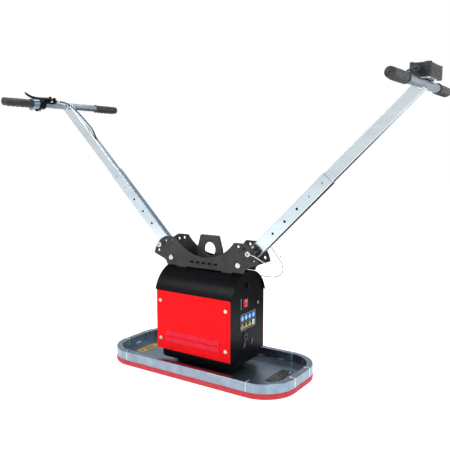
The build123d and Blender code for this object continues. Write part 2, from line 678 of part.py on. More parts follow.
def valve_body():
    """Vent valve: a block with a vertical bore that lets air back under the plate."""
    x, y = VALVE_PLACE
    wide_x = (x - VALVE_HALF_X, x + VALVE_HALF_X)
    wide_y = (y - VALVE_HALF_Y, y + VALVE_HALF_Y)
    bridge_top = BRIDGE_UNDERSIDE + BRIDGE_THICKNESS
    body = block(wide_x, wide_y, (PLINTH_TOP, VALVE_BODY_TOP))
    body -= rod((x, y, PLINTH_TOP + 12), (0, 0, 1), VALVE_BORE, 40)
    bridge = block((wide_x[0], wide_x[0] + BRIDGE_THICKNESS), wide_y, (VALVE_BODY_TOP, bridge_top))
    bridge += block(wide_x, wide_y, (BRIDGE_UNDERSIDE, bridge_top))
    return body + bridge - rod((x, y, BRIDGE_UNDERSIDE - 4), (0, 0, 1), STEM_RADIUS + RUNNING, 10)


def valve_plunger():
    x, y = VALVE_PLACE
    plunger = rod((x, y, 84), (0, 0, 1), VALVE_BORE - RUNNING, PLUNGER_SHOULDER - 84)
    return plunger + rod((x, y, PLUNGER_SHOULDER), (0, 0, 1), STEM_RADIUS, 56)


def valve_spring():
    """Return spring between the plunger's shoulder and the bridge."""
    x, y = VALVE_PLACE
    wire = 1.2
    low, high = PLUNGER_SHOULDER + wire / 2 + 0.1, BRIDGE_UNDERSIDE - wire / 2 - 0.1
    helix = Pos(x, y, low) * Helix(pitch=(high - low) / 6, height=high - low, radius=6)
    section = Plane(origin=helix @ 0, z_dir=helix % 0) * Circle(wire / 2)
    return sweep(section, path=helix, is_frenet=True)


def control_board():
    board = block((-139.6, -138), (-50, 50), (222, 282))
    for y, z, width in ((-30, 240, 22), (0, 262, 30), (30, 238, 18), (28, 264, 14)):
        board += block((-138, -130), (y - width / 2, y + width / 2), (z - 8, z + 8))
    for side in SIDES:
        for z in (228, 276):
            board += rod((-145.5, side * 44, z), (1, 0, 0), 3, 6)
    return board


# ---- right end panel fittings -------------------------------------------------------------
ROCKER_AXIS_X = 145.5


def switch_bezel():
    low_y, high_y = SWITCH_Y
    low_z, high_z = SWITCH_Z
    face = HOUSING_HALF_LENGTH
    bezel = block((face, face + 2.5), SWITCH_Y, SWITCH_Z)
    bezel += block((face - 22, face), (low_y + 2, high_y - 2), (low_z + 1, high_z - 1))
    return bezel - block((face - 19, face + 3), (low_y + 4, high_y - 4), (low_z + 2, high_z - 2))


def rocker_switch():
    """Red rocker paddle, slightly dished, with its pivot barrel."""
    low_y, high_y = SWITCH_Y[0] + 5, SWITCH_Y[1] - 5
    middle_z = sum(SWITCH_Z) / 2
    paddle = block((146, 153.5), (low_y, high_y), (SWITCH_Z[0] + 4, SWITCH_Z[1] - 4))
    dish_radius = 90
    paddle -= across(152.3 + dish_radius, middle_z, dish_radius, low_y, high_y)
    return paddle + across(ROCKER_AXIS_X, middle_z, 3.5, low_y, high_y)


def charging_socket():
    """Round charging socket with a blind bore for the charger's plug."""
    place = (HOUSING_HALF_LENGTH, SOCKET_Y, SOCKET_Z)
    socket = rod(place, (1, 0, 0), SOCKET_RADIUS + 3, 3) + rod(place, (-1, 0, 0), SOCKET_RADIUS, 18)
    return socket - rod((place[0] + 3, SOCKET_Y, SOCKET_Z), (-1, 0, 0), SOCKET_BORE_RADIUS, 16)


# ---- handles ------------------------------------------------------------------------------
def tube_bar(size, low, high):
    """Rectangular tube along the handle's own x."""
    width_n, width_y = size
    outer = block((low, high), (-width_y / 2, width_y / 2), (-width_n / 2, width_n / 2))
    outer = fillet(outer.edges().filter_by(Axis.X), TUBE_CORNER)
    inner_y, inner_n = width_y / 2 - TUBE_WALL, width_n / 2 - TUBE_WALL
    return outer - block((low - 1, high + 1), (-inner_y, inner_y), (-inner_n, inner_n))


def outer_tube():
    """Right outer tube: round cheeks at the pivot, lock slot, row of adjusting holes."""
    end_radius = OUTER_TUBE[0] / 2
    tube = tube_bar(OUTER_TUBE, -end_radius, OUTER_TUBE_TOP)
    rounding = across(0, 0, end_radius, -20, 20) + block((0, OUTER_TUBE_TOP), (-20, 20), (-25, 25))
    tube &= rounding
    tube -= across(0, 0, PIVOT_RADIUS + RUNNING, -20, 20)
    slot_half = LOCK_PIN_RADIUS + 0.4
    slot = across(LOCK_RING_RADIUS, 0, slot_half, -20, 20)
    sweep_ring = ring((0, -20, 0), (0, 1, 0), LOCK_RING_RADIUS + slot_half, LOCK_RING_RADIUS - slot_half, 40)
    slot += sweep_ring & block((0, 80), (-20, 20), (-40, 0))
    tube -= slot
    for number in range(HOLE_COUNT):
        tube -= across(FIRST_HOLE + number * HOLE_PITCH, 0, ADJUST_HOLE_RADIUS, -20, 20)
    tube -= rod((CABLE_EXIT_ALONG, 0, 0), (0, 0, -1), GROMMET_RADIUS, 30)
    return handle_plane() * tube


def inner_tube():
    """Inner tube, coped at its top end to the crossbar."""
    tube = tube_bar(INNER_TUBE, INNER_TUBE_BOTTOM, BAR_POSITION)
    tube -= across(BAR_POSITION, 0, BAR_RADIUS + 0.05, -20, 20)
    tube -= across(BUTTON_HOLE, 0, BUTTON_RADIUS + RUNNING, -20, 0)
    return handle_plane() * tube


def snap_button():
    """Domed button in the inner tube's front wall, just under the outer tube's hole."""
    face = INNER_TUBE[1] / 2
    button = across(BUTTON_HOLE, 0, BUTTON_RADIUS, -face - 0.25, -face + 4.5)
    button = fillet(button.edges().group_by(Axis.Y)[0], 1.5)
    button += across(BUTTON_HOLE, 0, BUTTON_RADIUS + 1.2, -face + 3, -face + 4.5)
    return handle_plane() * button


def crossbar(ends):
    """Right crossbar: round tube across the handle's top end."""
    return ring((BAR_X, ends[0] + BAR_CAP, BAR_Z), (0, 1, 0), BAR_RADIUS, BAR_RADIUS - BAR_WALL,
                ends[1] - ends[0] - 2 * BAR_CAP)


def grips(ends):
    """Rubber grips on both ends of a crossbar, each with a small hole in its closed end."""
    sleeves = []
    for end, inward in ((ends[0], 1), (ends[1], -1)):
        grip = rod((BAR_X, end, BAR_Z), (0, inward, 0), GRIP_RADIUS, GRIP_LENGTH)
        grip = fillet(grip.edges().group_by(Axis.Y)[0 if inward > 0 else -1], 3)
        grip -= rod((BAR_X, end + inward * BAR_CAP, BAR_Z), (0, inward, 0), BAR_RADIUS, GRIP_LENGTH)
        sleeves.append(grip - rod((BAR_X, end, BAR_Z), (0, inward, 0), 2.5, 5))
    return group(sleeves)


# ---- lock pins ----------------------------------------------------------------------------
PIN_HEAD_RADIUS = 9.0
PIN_HEAD_LENGTH = 14.0
PIN_GAP = 0.3


def lock_pin():
    """Right lock pin through both ears and the tube, with a hollow pull head in front."""
    head_start = -BRACKET_OUTER_Y - PIN_GAP
    pin = across(LOCK_PIN_X, LOCK_PIN_Z, LOCK_PIN_RADIUS, head_start, BRACKET_OUTER_Y + 7)
    pin = chamfer(pin.edges().group_by(Axis.Y)[-1], 1.5)
    head = across(LOCK_PIN_X, LOCK_PIN_Z, PIN_HEAD_RADIUS, head_start - PIN_HEAD_LENGTH, head_start)
    head = fillet(head.edges().group_by(Axis.Y)[0], 2)
    head -= across(LOCK_PIN_X, LOCK_PIN_Z, 3.5, head_start - PIN_HEAD_LENGTH, head_start - 5)
    return pin + head


RIGHT_WIRE_ROUTE = [
    (187.5, -47, 411),
    (206, -46, 406),
    (226, -43, 393),
    (246, -32, 384),
    (260, -14, 385),
    (264, 6, 395),
    (258, 18, 407),
]
WIRE_DIAMETER = 2.6


def right_pin_wire():
    """Coated spring wire fixed in the right pin's head and bent round the ears."""
    return cord("right_pin_wire", RIGHT_WIRE_ROUTE, WIRE_DIAMETER)


LEFT_WIRE_ROUTE = [(-187.5, -47, 409), (-196, -47.5, 403), (-206, -48, 400), (-217, -47, 400)]


def left_pin_wire():
    """Short end of spring wire in the left pin's head."""
    return cord("left_pin_wire", LEFT_WIRE_ROUTE, 1.6)


# ---- release lever on the left crossbar ---------------------------------------------------
LEVER_TILT = 50.0
LEVER_PIVOT = (99.0, 27.0)
LEVER_HALF_THICKNESS = 4.5
PERCH_RING = (116.0, 143.0)
CLAMP_RING = (143.5, 170.0)
CLAMP_RADIUS = 18.0
PERCH_RADIUS = 19.0
PINCH_GAP = 3.0
ARM_X = 74.0
ARM_HALF_WIDTH = 8.5


def lever_plane():
    """Left bar's own frame: x outwards along the front half of the bar, z towards the lever."""
    tilt = radians(LEVER_TILT)
    return Plane(origin=(-BAR_X, 0, BAR_Z), x_dir=(0, -1, 0), z_dir=(sin(tilt), 0, cos(tilt)))


def lever_clamp():
    """Zinc band round the bar next to the grip, split below and drawn up by its ears."""
    low, high = CLAMP_RING
    band = rod((low, 0, 0), (1, 0, 0), CLAMP_RADIUS, high - low)
    band += block((low + 4, high - 4), (-7, 7), (-27, -10))
    band -= block((low - 1, high + 1), (-PINCH_GAP / 2, PINCH_GAP / 2), (-30, 0))
    band -= rod((low - 1, 0, 0), (1, 0, 0), BAR_RADIUS, high - low + 2)
    middle = (low + high) / 2
    band -= across(middle, -22.5, 2.6, -10, 10)
    return lever_plane() * band


def lever_perch():
    """Black lever bracket: a ring on the bar and a forked arm that carries the pivot."""
    low, high = PERCH_RING
    perch = rod((low, 0, 0), (1, 0, 0), PERCH_RADIUS, high - low)
    perch += block((low + 3, high - 3), (-9, 9), (-29, -12))
    perch += block((ARM_X, low + 2), (-ARM_HALF_WIDTH, ARM_HALF_WIDTH), (13.2, 24))
    perch += across(LEVER_PIVOT[0], LEVER_PIVOT[1], 8, -ARM_HALF_WIDTH, ARM_HALF_WIDTH)
    perch += block((ARM_X, ARM_X + 10), (-ARM_HALF_WIDTH, ARM_HALF_WIDTH), (13.2, 31))
    slot = LEVER_HALF_THICKNESS + 0.3
    perch -= block((86, 150), (-slot, slot), (17.5, 50))
    perch -= block((72, 86), (-1.6, 1.6), (24, 50))
    perch -= rod((low - 5, 0, 0), (1, 0, 0), BAR_RADIUS, high - low + 10)
    perch -= block((low - 1, high + 1), (-PINCH_GAP / 2, PINCH_GAP / 2), (-32, 0))
    middle = (low + high) / 2
    perch -= across(middle, -24, 2.6, -12, 12)
    perch -= across(LEVER_PIVOT[0], LEVER_PIVOT[1], 3, -12, 12)
    return lever_plane() * perch


def clamp_screws():
    """Pinch screws of the band and the lever bracket."""
    screws = []
    for middle, drop, half in ((sum(CLAMP_RING) / 2, -22.5, 7), (sum(PERCH_RING) / 2, -24, 9)):
        screws.append(across(middle, drop, 2.5, -half, half) + across(middle, drop, 4.5, half, half + 4)
                      + across(middle, drop, 4.5, -half - 3, -half))
    return lever_plane() * group(screws)


def lever_pivot_screw():
    x, z = LEVER_PIVOT
    head_y = ARM_HALF_WIDTH + 2.5
    screw = across(x, z, 2.95, -ARM_HALF_WIDTH, ARM_HALF_WIDTH)
    screw += across(x, z, 5, ARM_HALF_WIDTH, head_y)
    screw += across(x, z, 5, -head_y, -ARM_HALF_WIDTH)
    return lever_plane() * screw


def release_lever():
    """Curved lever blade with a round hub, its tip turned away from the bar."""
    hub_x, hub_z = LEVER_PIVOT
    upper = Spline((hub_x, hub_z + 6.5), (130, 32), (178, 33), (203, 41), (221, 50))
    tip = Line((221, 50), (223.5, 45.5))
    lower = Spline((223.5, 45.5), (205, 35.5), (179, 27.5), (130, 26), (hub_x, hub_z - 6.5))
    root = ThreePointArc((hub_x, hub_z - 6.5), (hub_x - 6.5, hub_z), (hub_x, hub_z + 6.5))
    outline = make_face(upper + tip + lower + root)
    outline -= Pos(hub_x, hub_z) * Circle(3 + 0.03)
    blade = extrude(Plane.XZ * outline, LEVER_HALF_THICKNESS, both=True)
    return lever_plane() * blade


# ---- cables -------------------------------------------------------------------------------
CABLE_DIAMETER = 5.0
RELEASE_CABLE_ROUTE = [
    (-663, -56, 921.6),
    (-660, -35, 920.5),
    (-645, -18, 910),
    (-612, -8, 881),
    (-573, -2, 843),
    (-536, 0, 809),
    (-518.8, 0, 762.5),
]
CONTROL_CABLE_ROUTE = [
    (675, -44, 942),
    (675, -62, 942),
    (664, -76, 934),
    (650, -74, 924),
    (642, -58, 918.5),
    (641, -34, 918.5),
    (641.4, -10.5, 919.6),
    (648.7, 0, 912.1),
    (657, 0, 903.7),
]
LOWER_CABLE_DIAMETER = 3.0
LOWER_CABLE_ROUTE = [
    (230.9, 0, 435.5),
    (240, 3, 426.5),
    (245, 20, 404),
    (250, 42, 378),
    (246, 62, 352),
    (227, 82, 329),
    (189, 97, 314),
    (150, 106, 313),
    (125, 103, 313),
    (120, 88.0, 303.1),
]
CABLE_EXIT_ALONG = 113.0
CABLE_ENTRY_DIRECTION = (0, cos(radians(35)), sin(radians(35)))
GROMMET_RADIUS = 3.4


def cable_entry(distance):
    """Point on the lower cable's line through the cover, measured out from the sheet."""
    reach = COVER_RADIUS + distance
    return (120, reach * CABLE_ENTRY_DIRECTION[1], COVER_CENTRE_Z + reach * CABLE_ENTRY_DIRECTION[2])


def barrel_adjuster():
    """Bright adjuster in the lever bracket that the release cable's sleeve seats in."""
    end, following = RELEASE_CABLE_ROUTE[0], RELEASE_CABLE_ROUTE[1]
    direction = [a - b for a, b in zip(end, following)]
    adjuster = rod(end, direction, 4.6, 16) + rod(end, direction, 6, 5)
    return adjuster


def release_cable():
    return cord("release_cable", RELEASE_CABLE_ROUTE, CABLE_DIAMETER)


def control_cable():
    return cord("control_cable", CONTROL_CABLE_ROUTE, CABLE_DIAMETER)


def control_cable_lower():
    return cord("control_cable_lower", LOWER_CABLE_ROUTE, LOWER_CABLE_DIAMETER)


# ---- control box on the right crossbar ----------------------------------------------------
BOX_X = (650.0, 706.0)
BOX_Y = (-20.0, 100.0)
BOX_BOTTOM = BAR_Z + BAR_RADIUS + 0.05 + SHEET
BOX_SPLIT = BOX_BOTTOM + 26.0
BOX_TOP = BOX_BOTTOM + 37.0
BOX_WALL = 2.5
GLAND_X = 675.0
GLAND_Z = 942.0
BOX_SCREW_INSET = 5.5
GLAND_RADIUS = 6.0
GLAND_FLATS = 19.0
BUTTON_PLACE = (688.0, 6.0)
PUSH_BUTTON_RADIUS = 6.0


def box_bracket():
    """Zinc plate welded on the bar under the control box."""
    plate = block((BOX_X[0] + 6, BOX_X[1] - 4), (BOX_Y[0] + 6, BOX_Y[1] - 30),
                  (BOX_BOTTOM - SHEET, BOX_BOTTOM))
    return fillet(plate.edges().filter_by(Axis.Z), 6)


def box_shell(z_low, z_high):
    shell = block(BOX_X, BOX_Y, (z_low, z_high))
    return fillet(shell.edges().filter_by(Axis.Z), 5)


def box_cavity(z_low, z_high):
    return block((BOX_X[0] + BOX_WALL, BOX_X[1] - BOX_WALL), (BOX_Y[0] + BOX_WALL, BOX_Y[1] - BOX_WALL),
                 (z_low, z_high))


def box_screw_places():
    screw_x = (BOX_X[0] + BOX_SCREW_INSET, BOX_X[1] - BOX_SCREW_INSET)
    screw_y = (BOX_Y[0] + BOX_SCREW_INSET, BOX_Y[1] - BOX_SCREW_INSET)
    return [(x, y) for x in screw_x for y in screw_y]


def control_box_base():
    base = box_shell(BOX_BOTTOM, BOX_SPLIT) - box_cavity(BOX_BOTTOM + BOX_WALL, BOX_SPLIT)
    for x, y in box_screw_places():
        base += rod((x, y, BOX_BOTTOM), (0, 0, 1), 4.5, BOX_SPLIT - BOX_BOTTOM)
        base -= rod((x, y, BOX_SPLIT - 14), (0, 0, 1), 1.6, 14)
    return base - rod((GLAND_X, BOX_Y[0], GLAND_Z), (0, 1, 0), GLAND_RADIUS, BOX_WALL)


def control_box_lid():
    lid = box_shell(BOX_SPLIT, BOX_TOP)
    lid = fillet(lid.edges().group_by(Axis.Z)[-1], 2)
    lid -= box_cavity(BOX_SPLIT, BOX_TOP - BOX_WALL)
    for x, y in box_screw_places():
        lid += rod((x, y, BOX_SPLIT), (0, 0, 1), 4.5, BOX_TOP - BOX_SPLIT - 1)
        lid -= rod((x, y, BOX_SPLIT), (0, 0, 1), 1.8, 20)
        lid -= rod((x, y, BOX_TOP - 3), (0, 0, 1), 3.2, 5)
    return lid - rod((*BUTTON_PLACE, BOX_TOP - 5), (0, 0, 1), PUSH_BUTTON_RADIUS + 0.4, 10)


def box_lid_screws():
    screws = []
    for x, y in box_screw_places():
        head = rod((x, y, BOX_TOP - 3), (0, 0, 1), 3, 2.4)
        head -= hexagon((x, y, BOX_TOP - 0.6), (0, 0, -1), 2.5, 1.2)
        screws.append(head + rod((x, y, BOX_TOP - 3), (0, 0, -1), 1.55, 22))
    return group(screws)


def push_button():
    button = rod((*BUTTON_PLACE, BOX_TOP - 9), (0, 0, 1), PUSH_BUTTON_RADIUS, 14)
    button = fillet(button.edges().group_by(Axis.Z)[-1], 2)
    return button + rod((*BUTTON_PLACE, BOX_TOP - 10.5), (0, 0, 1), PUSH_BUTTON_RADIUS + 1.5, 2)


def box_circuit():
    """Small circuit board with its push switch under the button."""
    floor = BOX_BOTTOM + BOX_WALL
    board = block((658, 698), (-8, 88), (floor + 4, floor + 5.6))
    board += block((682, 694), (0, 12), (floor + 5.6, floor + 14))
    board += block((662, 676), (40, 70), (floor + 5.6, floor + 12))
    for x in (662, 694):
        for y in (-4, 84):
            board += rod((x, y, floor), (0, 0, 1), 2.5, 4)
    return board


def cable_gland():
    """Gland nut on the box's front end with its clamping dome."""
    place = (GLAND_X, BOX_Y[0], GLAND_Z)
    gland = rod(place, (0, 1, 0), GLAND_RADIUS - 0.05, BOX_WALL + 2)
    gland += hexagon(place, (0, -1, 0), GLAND_FLATS, 9)
    dome = rod((GLAND_X, BOX_Y[0] - 9, GLAND_Z), (0, -1, 0), 8, 15)
    dome = fillet(dome.edges().group_by(Axis.Y)[0], 4)
    return gland + dome


def bracket_screws():
    """Two screws from below that hold the box to its bracket plate."""
    screws = []
    for x, y in ((663, 24), (697, 52)):
        place = (x, y, BOX_BOTTOM - SHEET)
        screws.append(rod(place, (0, 0, -1), 5, 3.2))
    return group(screws)


# ---- write every piece --------------------------------------------------------------------
def pieces():
    left_bar = mirrored(crossbar(LEFT_BAR_ENDS))
    left_grips = mirrored(grips(LEFT_BAR_ENDS))
    cable_end = RELEASE_CABLE_ROUTE[-1]
    cable_before = RELEASE_CABLE_ROUTE[-2]
    cable_direction = [a - b for a, b in zip(cable_before, cable_end)]
    left_inner = mirrored(inner_tube()) - rod(cable_end, cable_direction, GROMMET_RADIUS + 0.1, 30)
    control_end = CONTROL_CABLE_ROUTE[-1]
    control_direction = [a - b for a, b in zip(CONTROL_CABLE_ROUTE[-2], control_end)]
    right_inner = inner_tube() - rod(control_end, control_direction, GROMMET_RADIUS + 0.1, 20)
    return {
        "seal_ring": seal_ring(),
        "suction_plate": suction_plate(),
        "plate_rim": group([rim_rails(), rim_corners()]),
        "label_plates": label_plates(),
        "port_gasket": port_gasket(),
        "port_fitting": port_fitting(),
        "plinth": plinth(),
        "plinth_fasteners": group([plinth_bolts(), plinth_nuts()]),
        "end_panel_left": mirrored(end_panel()),
        "end_panel_right": end_panel_right(),
        "side_panels": group([side_panel(), mirror(side_panel(), about=Plane.XZ)]),
        "panel_screws": panel_screws(),
        "top_cover": top_cover(),
        "top_beam": top_beam(),
        "frame_bolts": group([beam_bolts(), bracket_bolts()]),
        "bracket_plate_front": bracket_plate(),
        "bracket_plate_rear": mirror(bracket_plate(), about=Plane.XZ),
        "lifting_eye": lifting_eye(),
        "pivot_hardware": group([pivot_bolts(), pivot_nuts(), pivot_spacers()]),
        "battery_pack": battery_pack(),
        "inner_brackets": group([battery_strap(), pump_cradle()]),
        "pump_motor": pump_motor(),
        "pump_head": pump_head(),
        "pump_rotor": pump_rotor(),
        "vacuum_filter": vacuum_filter(),
        "vacuum_hose": vacuum_hose(),
        "valve_body": valve_body(),
        "valve_plunger": valve_plunger(),
        "valve_spring": valve_spring(),
        "control_board": control_board(),
        "switch_bezel": switch_bezel(),
        "rocker_switch": rocker_switch(),
        "charging_socket": charging_socket(),
        "left_outer_tube": mirrored(outer_tube()),
        "right_outer_tube": outer_tube(),
        "left_inner_tube": left_inner,
        "right_inner_tube": right_inner,
        "left_snap_button": mirrored(snap_button()),
        "right_snap_button": snap_button(),
        "left_crossbar": left_bar,
        "right_crossbar": crossbar(RIGHT_BAR_ENDS),
        "left_grips": left_grips,
        "right_grips": grips(RIGHT_BAR_ENDS),
        "left_lock_pin": group([mirrored(lock_pin()), left_pin_wire()]),
        "right_lock_pin": lock_pin(),
        "right_pin_wire": right_pin_wire(),
        "release_lever": release_lever(),
        "lever_clamp": lever_clamp(),
        "lever_perch": lever_perch(),
        "lever_fittings": group([clamp_screws(), lever_pivot_screw(), barrel_adjuster()]),
        "release_cable": release_cable(),
        "box_bracket": box_bracket(),
        "control_box_base": control_box_base(),
        "control_box_lid": control_box_lid(),
        "box_screws": group([box_lid_screws(), bracket_screws()]),
        "box_circuit": box_circuit(),
        "push_button": push_button(),
        "cable_gland": cable_gland(),
        "control_cable": control_cable(),
        "control_cable_lower": control_cable_lower(),
    }


os.makedirs("parts", exist_ok=True)
for node, shape in pieces().items():
    export_step(shape, f"parts/{node}.step")
print("pieces written")
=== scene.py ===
"""Visual model of a two-person battery vacuum slab lifter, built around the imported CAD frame.

Metres, in the CAD's own frame: X along the suction plate, Z up, the front side is -Y.
"""
import json
from math import cos, pi, radians, sin

import bpy
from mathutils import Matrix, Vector, noise


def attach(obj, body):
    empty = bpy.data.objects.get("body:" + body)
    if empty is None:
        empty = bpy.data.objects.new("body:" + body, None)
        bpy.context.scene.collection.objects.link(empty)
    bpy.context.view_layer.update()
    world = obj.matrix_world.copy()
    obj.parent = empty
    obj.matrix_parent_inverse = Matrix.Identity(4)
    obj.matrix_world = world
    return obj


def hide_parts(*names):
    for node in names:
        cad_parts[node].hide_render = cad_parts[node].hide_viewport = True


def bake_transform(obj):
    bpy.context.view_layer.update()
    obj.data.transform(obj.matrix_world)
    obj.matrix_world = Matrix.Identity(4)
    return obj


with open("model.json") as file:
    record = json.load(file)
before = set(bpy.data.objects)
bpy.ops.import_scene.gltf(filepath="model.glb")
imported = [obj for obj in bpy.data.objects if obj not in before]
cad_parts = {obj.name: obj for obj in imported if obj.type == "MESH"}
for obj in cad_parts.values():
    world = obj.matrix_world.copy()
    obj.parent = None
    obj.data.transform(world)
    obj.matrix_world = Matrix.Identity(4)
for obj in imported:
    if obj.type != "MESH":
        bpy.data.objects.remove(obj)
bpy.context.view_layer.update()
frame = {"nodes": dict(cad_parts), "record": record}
MM = 0.001
NODES = frame["nodes"]
scene = bpy.context.scene

# ---- dimensions that the CAD's source also has, in millimetres ---------------------------------
HALF_LENGTH, HALF_WIDTH, PLATE_CORNER = 350.0, 160.0, 110.0
RAIL_WIDTH, RIM_TOP, FLOOR_TOP = 20.0, 48.0, 21.0
LABEL_TOP = 21.6
PIVOT = (136.0, 371.0)
HANDLE_ANGLE = radians(44.6)
BAR_POSITION, BAR_RADIUS = 764.0, 12.5
GRIP_RADIUS, GRIP_LENGTH = 14.5, 118.0
LEFT_BAR_ENDS = (-289.0, 261.0)
RIGHT_BAR_ENDS = (-264.0, 264.0)
END_FACE_X, LABEL_FACE_X = 148.5, 149.1
BAR_X = PIVOT[0] + BAR_POSITION * cos(HANDLE_ANGLE)
BAR_Z = PIVOT[1] + BAR_POSITION * sin(HANDLE_ANGLE)


def metres(point):
    return Vector(point) * MM


# ---- camera ------------------------------------------------------------------------------------
CAMERA_PLACE = (1.1124, -1.5727, 0.7275)
CAMERA_AZIMUTH, CAMERA_PITCH = radians(33.79), radians(7.09)
LENS = 46.36

camera_data = bpy.data.cameras.new("camera")
camera_data.lens = LENS
camera_data.sensor_width = 36.0
camera_data.clip_end = 200.0
camera = bpy.data.objects.new("camera", camera_data)
camera.location = CAMERA_PLACE
camera.rotation_euler = (pi / 2 - CAMERA_PITCH, 0.0, CAMERA_AZIMUTH)
scene.collection.objects.link(camera)
scene.camera = camera


# ---- materials ---------------------------------------------------------------------------------
def link(tree, source, output, target, socket):
    tree.links.new(source.outputs[output], target.inputs[socket])


def node(tree, kind, **values):
    made = tree.nodes.new(kind)
    for key, value in values.items():
        setattr(made, key, value)
    return made


def noise_node(tree, vector, scale, detail=3.0, roughness=0.5):
    made = node(tree, "ShaderNodeTexNoise")
    made.inputs["Scale"].default_value = scale
    made.inputs["Detail"].default_value = detail
    made.inputs["Roughness"].default_value = roughness
    tree.links.new(vector, made.inputs["Vector"])
    return made


def ranged(tree, value, low, high, from_low=0.3, from_high=0.7):
    made = node(tree, "ShaderNodeMapRange")
    made.inputs["From Min"].default_value = from_low
    made.inputs["From Max"].default_value = from_high
    made.inputs["To Min"].default_value = low
    made.inputs["To Max"].default_value = high
    tree.links.new(value, made.inputs["Value"])
    return made.outputs["Result"]


def blended(tree, factor, first, second):
    """Colour between two colours or sockets."""
    made = node(tree, "ShaderNodeMix", data_type="RGBA")
    tree.links.new(factor, made.inputs["Factor"])
    for socket, value in ((6, first), (7, second)):
        if isinstance(value, tuple):
            made.inputs[socket].default_value = (*value, 1.0)
        else:
            tree.links.new(value, made.inputs[socket])
    return made.outputs[2]


class Surface:
    """One procedural material: colour mottling, roughness variation and bump from noise."""

    def __init__(self, name, stretch=(1, 1, 1), turn_y=0.0, metallic=0.0, specular=0.5,
                 transmission=0.0, sheen=0.0):
        self.material = bpy.data.materials.new(name)
        self.material.use_nodes = True
        self.tree = self.material.node_tree
        self.shader = self.tree.nodes["Principled BSDF"]
        self.shader.inputs["Metallic"].default_value = metallic
        self.shader.inputs["Specular IOR Level"].default_value = specular
        self.shader.inputs["Transmission Weight"].default_value = transmission
        self.shader.inputs["Sheen Weight"].default_value = sheen
        coordinates = node(self.tree, "ShaderNodeTexCoord")
        self.place = coordinates.outputs["Object"]
        mapping = node(self.tree, "ShaderNodeMapping")
        mapping.inputs["Rotation"].default_value = (0.0, turn_y, 0.0)
        mapping.inputs["Scale"].default_value = stretch
        self.tree.links.new(self.place, mapping.inputs["Vector"])
        self.grain = mapping.outputs["Vector"]

    def colour(self, first, second, scale, detail=4.0, low=0.35, high=0.65):
        texture = noise_node(self.tree, self.grain, scale, detail)
        factor = ranged(self.tree, texture.outputs["Fac"], 0.0, 1.0, low, high)
        self.colour_socket = blended(self.tree, factor, first, second)
        self.tree.links.new(self.colour_socket, self.shader.inputs["Base Color"])
        return self

    def speckle(self, colour, scale, low, high, strength=1.0):
        """Fine spots of another colour over the base colour."""
        texture = noise_node(self.tree, self.place, scale, 2.0)
        factor = ranged(self.tree, texture.outputs["Fac"], 0.0, strength, low, high)
        self.colour_socket = blended(self.tree, factor, self.colour_socket, colour)
        self.tree.links.new(self.colour_socket, self.shader.inputs["Base Color"])
        return self

    def roughness(self, low, high, scale, detail=3.0):
        texture = noise_node(self.tree, self.grain, scale, detail)
        value = ranged(self.tree, texture.outputs["Fac"], low, high)
        self.tree.links.new(value, self.shader.inputs["Roughness"])
        return self

    def bump(self, scale, depth, detail=2.0, strength=0.6, kind="noise"):
        if kind == "noise":
            height = noise_node(self.tree, self.grain, scale, detail).outputs["Fac"]
        else:
            cells = node(self.tree, "ShaderNodeTexVoronoi", feature=kind)
            cells.inputs["Scale"].default_value = scale
            self.tree.links.new(self.grain, cells.inputs["Vector"])
            height = cells.outputs["Distance"]
        made = node(self.tree, "ShaderNodeBump")
        made.inputs["Strength"].default_value = strength
        made.inputs["Distance"].default_value = depth
        self.tree.links.new(height, made.inputs["Height"])
        last = getattr(self, "last_bump", None)
        if last is not None:
            self.tree.links.new(last.outputs["Normal"], made.inputs["Normal"])
        self.tree.links.new(made.outputs["Normal"], self.shader.inputs["Normal"])
        self.last_bump = made
        return self


METAL_CLOUD_SCALE, METAL_ROUGHNESS_SCALE, METAL_GRAIN_SCALE = 26.0, 60.0, 420.0
COATING_CLOUD_SCALE, COATING_ROUGHNESS_SCALE = 40.0, 90.0


def metal(name, first, second, rough, stretch=(1, 1, 1), turn_y=0.0, bump=0.00006):
    """Bare or zinc-plated metal: two tones, a roughness range and the depth of its grain."""
    made = Surface(name, stretch=stretch, turn_y=turn_y, metallic=1.0)
    made.colour(first, second, METAL_CLOUD_SCALE)
    made.roughness(*rough, METAL_ROUGHNESS_SCALE)
    made.bump(METAL_GRAIN_SCALE, bump)
    return made.material


def coated(name, first, second, rough, grain=900.0, depth=0.00008, specular=0.5):
    """Paint, plastic or rubber: two tones, a roughness range and a fine bumpy surface."""
    made = Surface(name, specular=specular)
    made.colour(first, second, COATING_CLOUD_SCALE)
    made.roughness(*rough, COATING_ROUGHNESS_SCALE)
    made.bump(grain, depth)
    return made.material


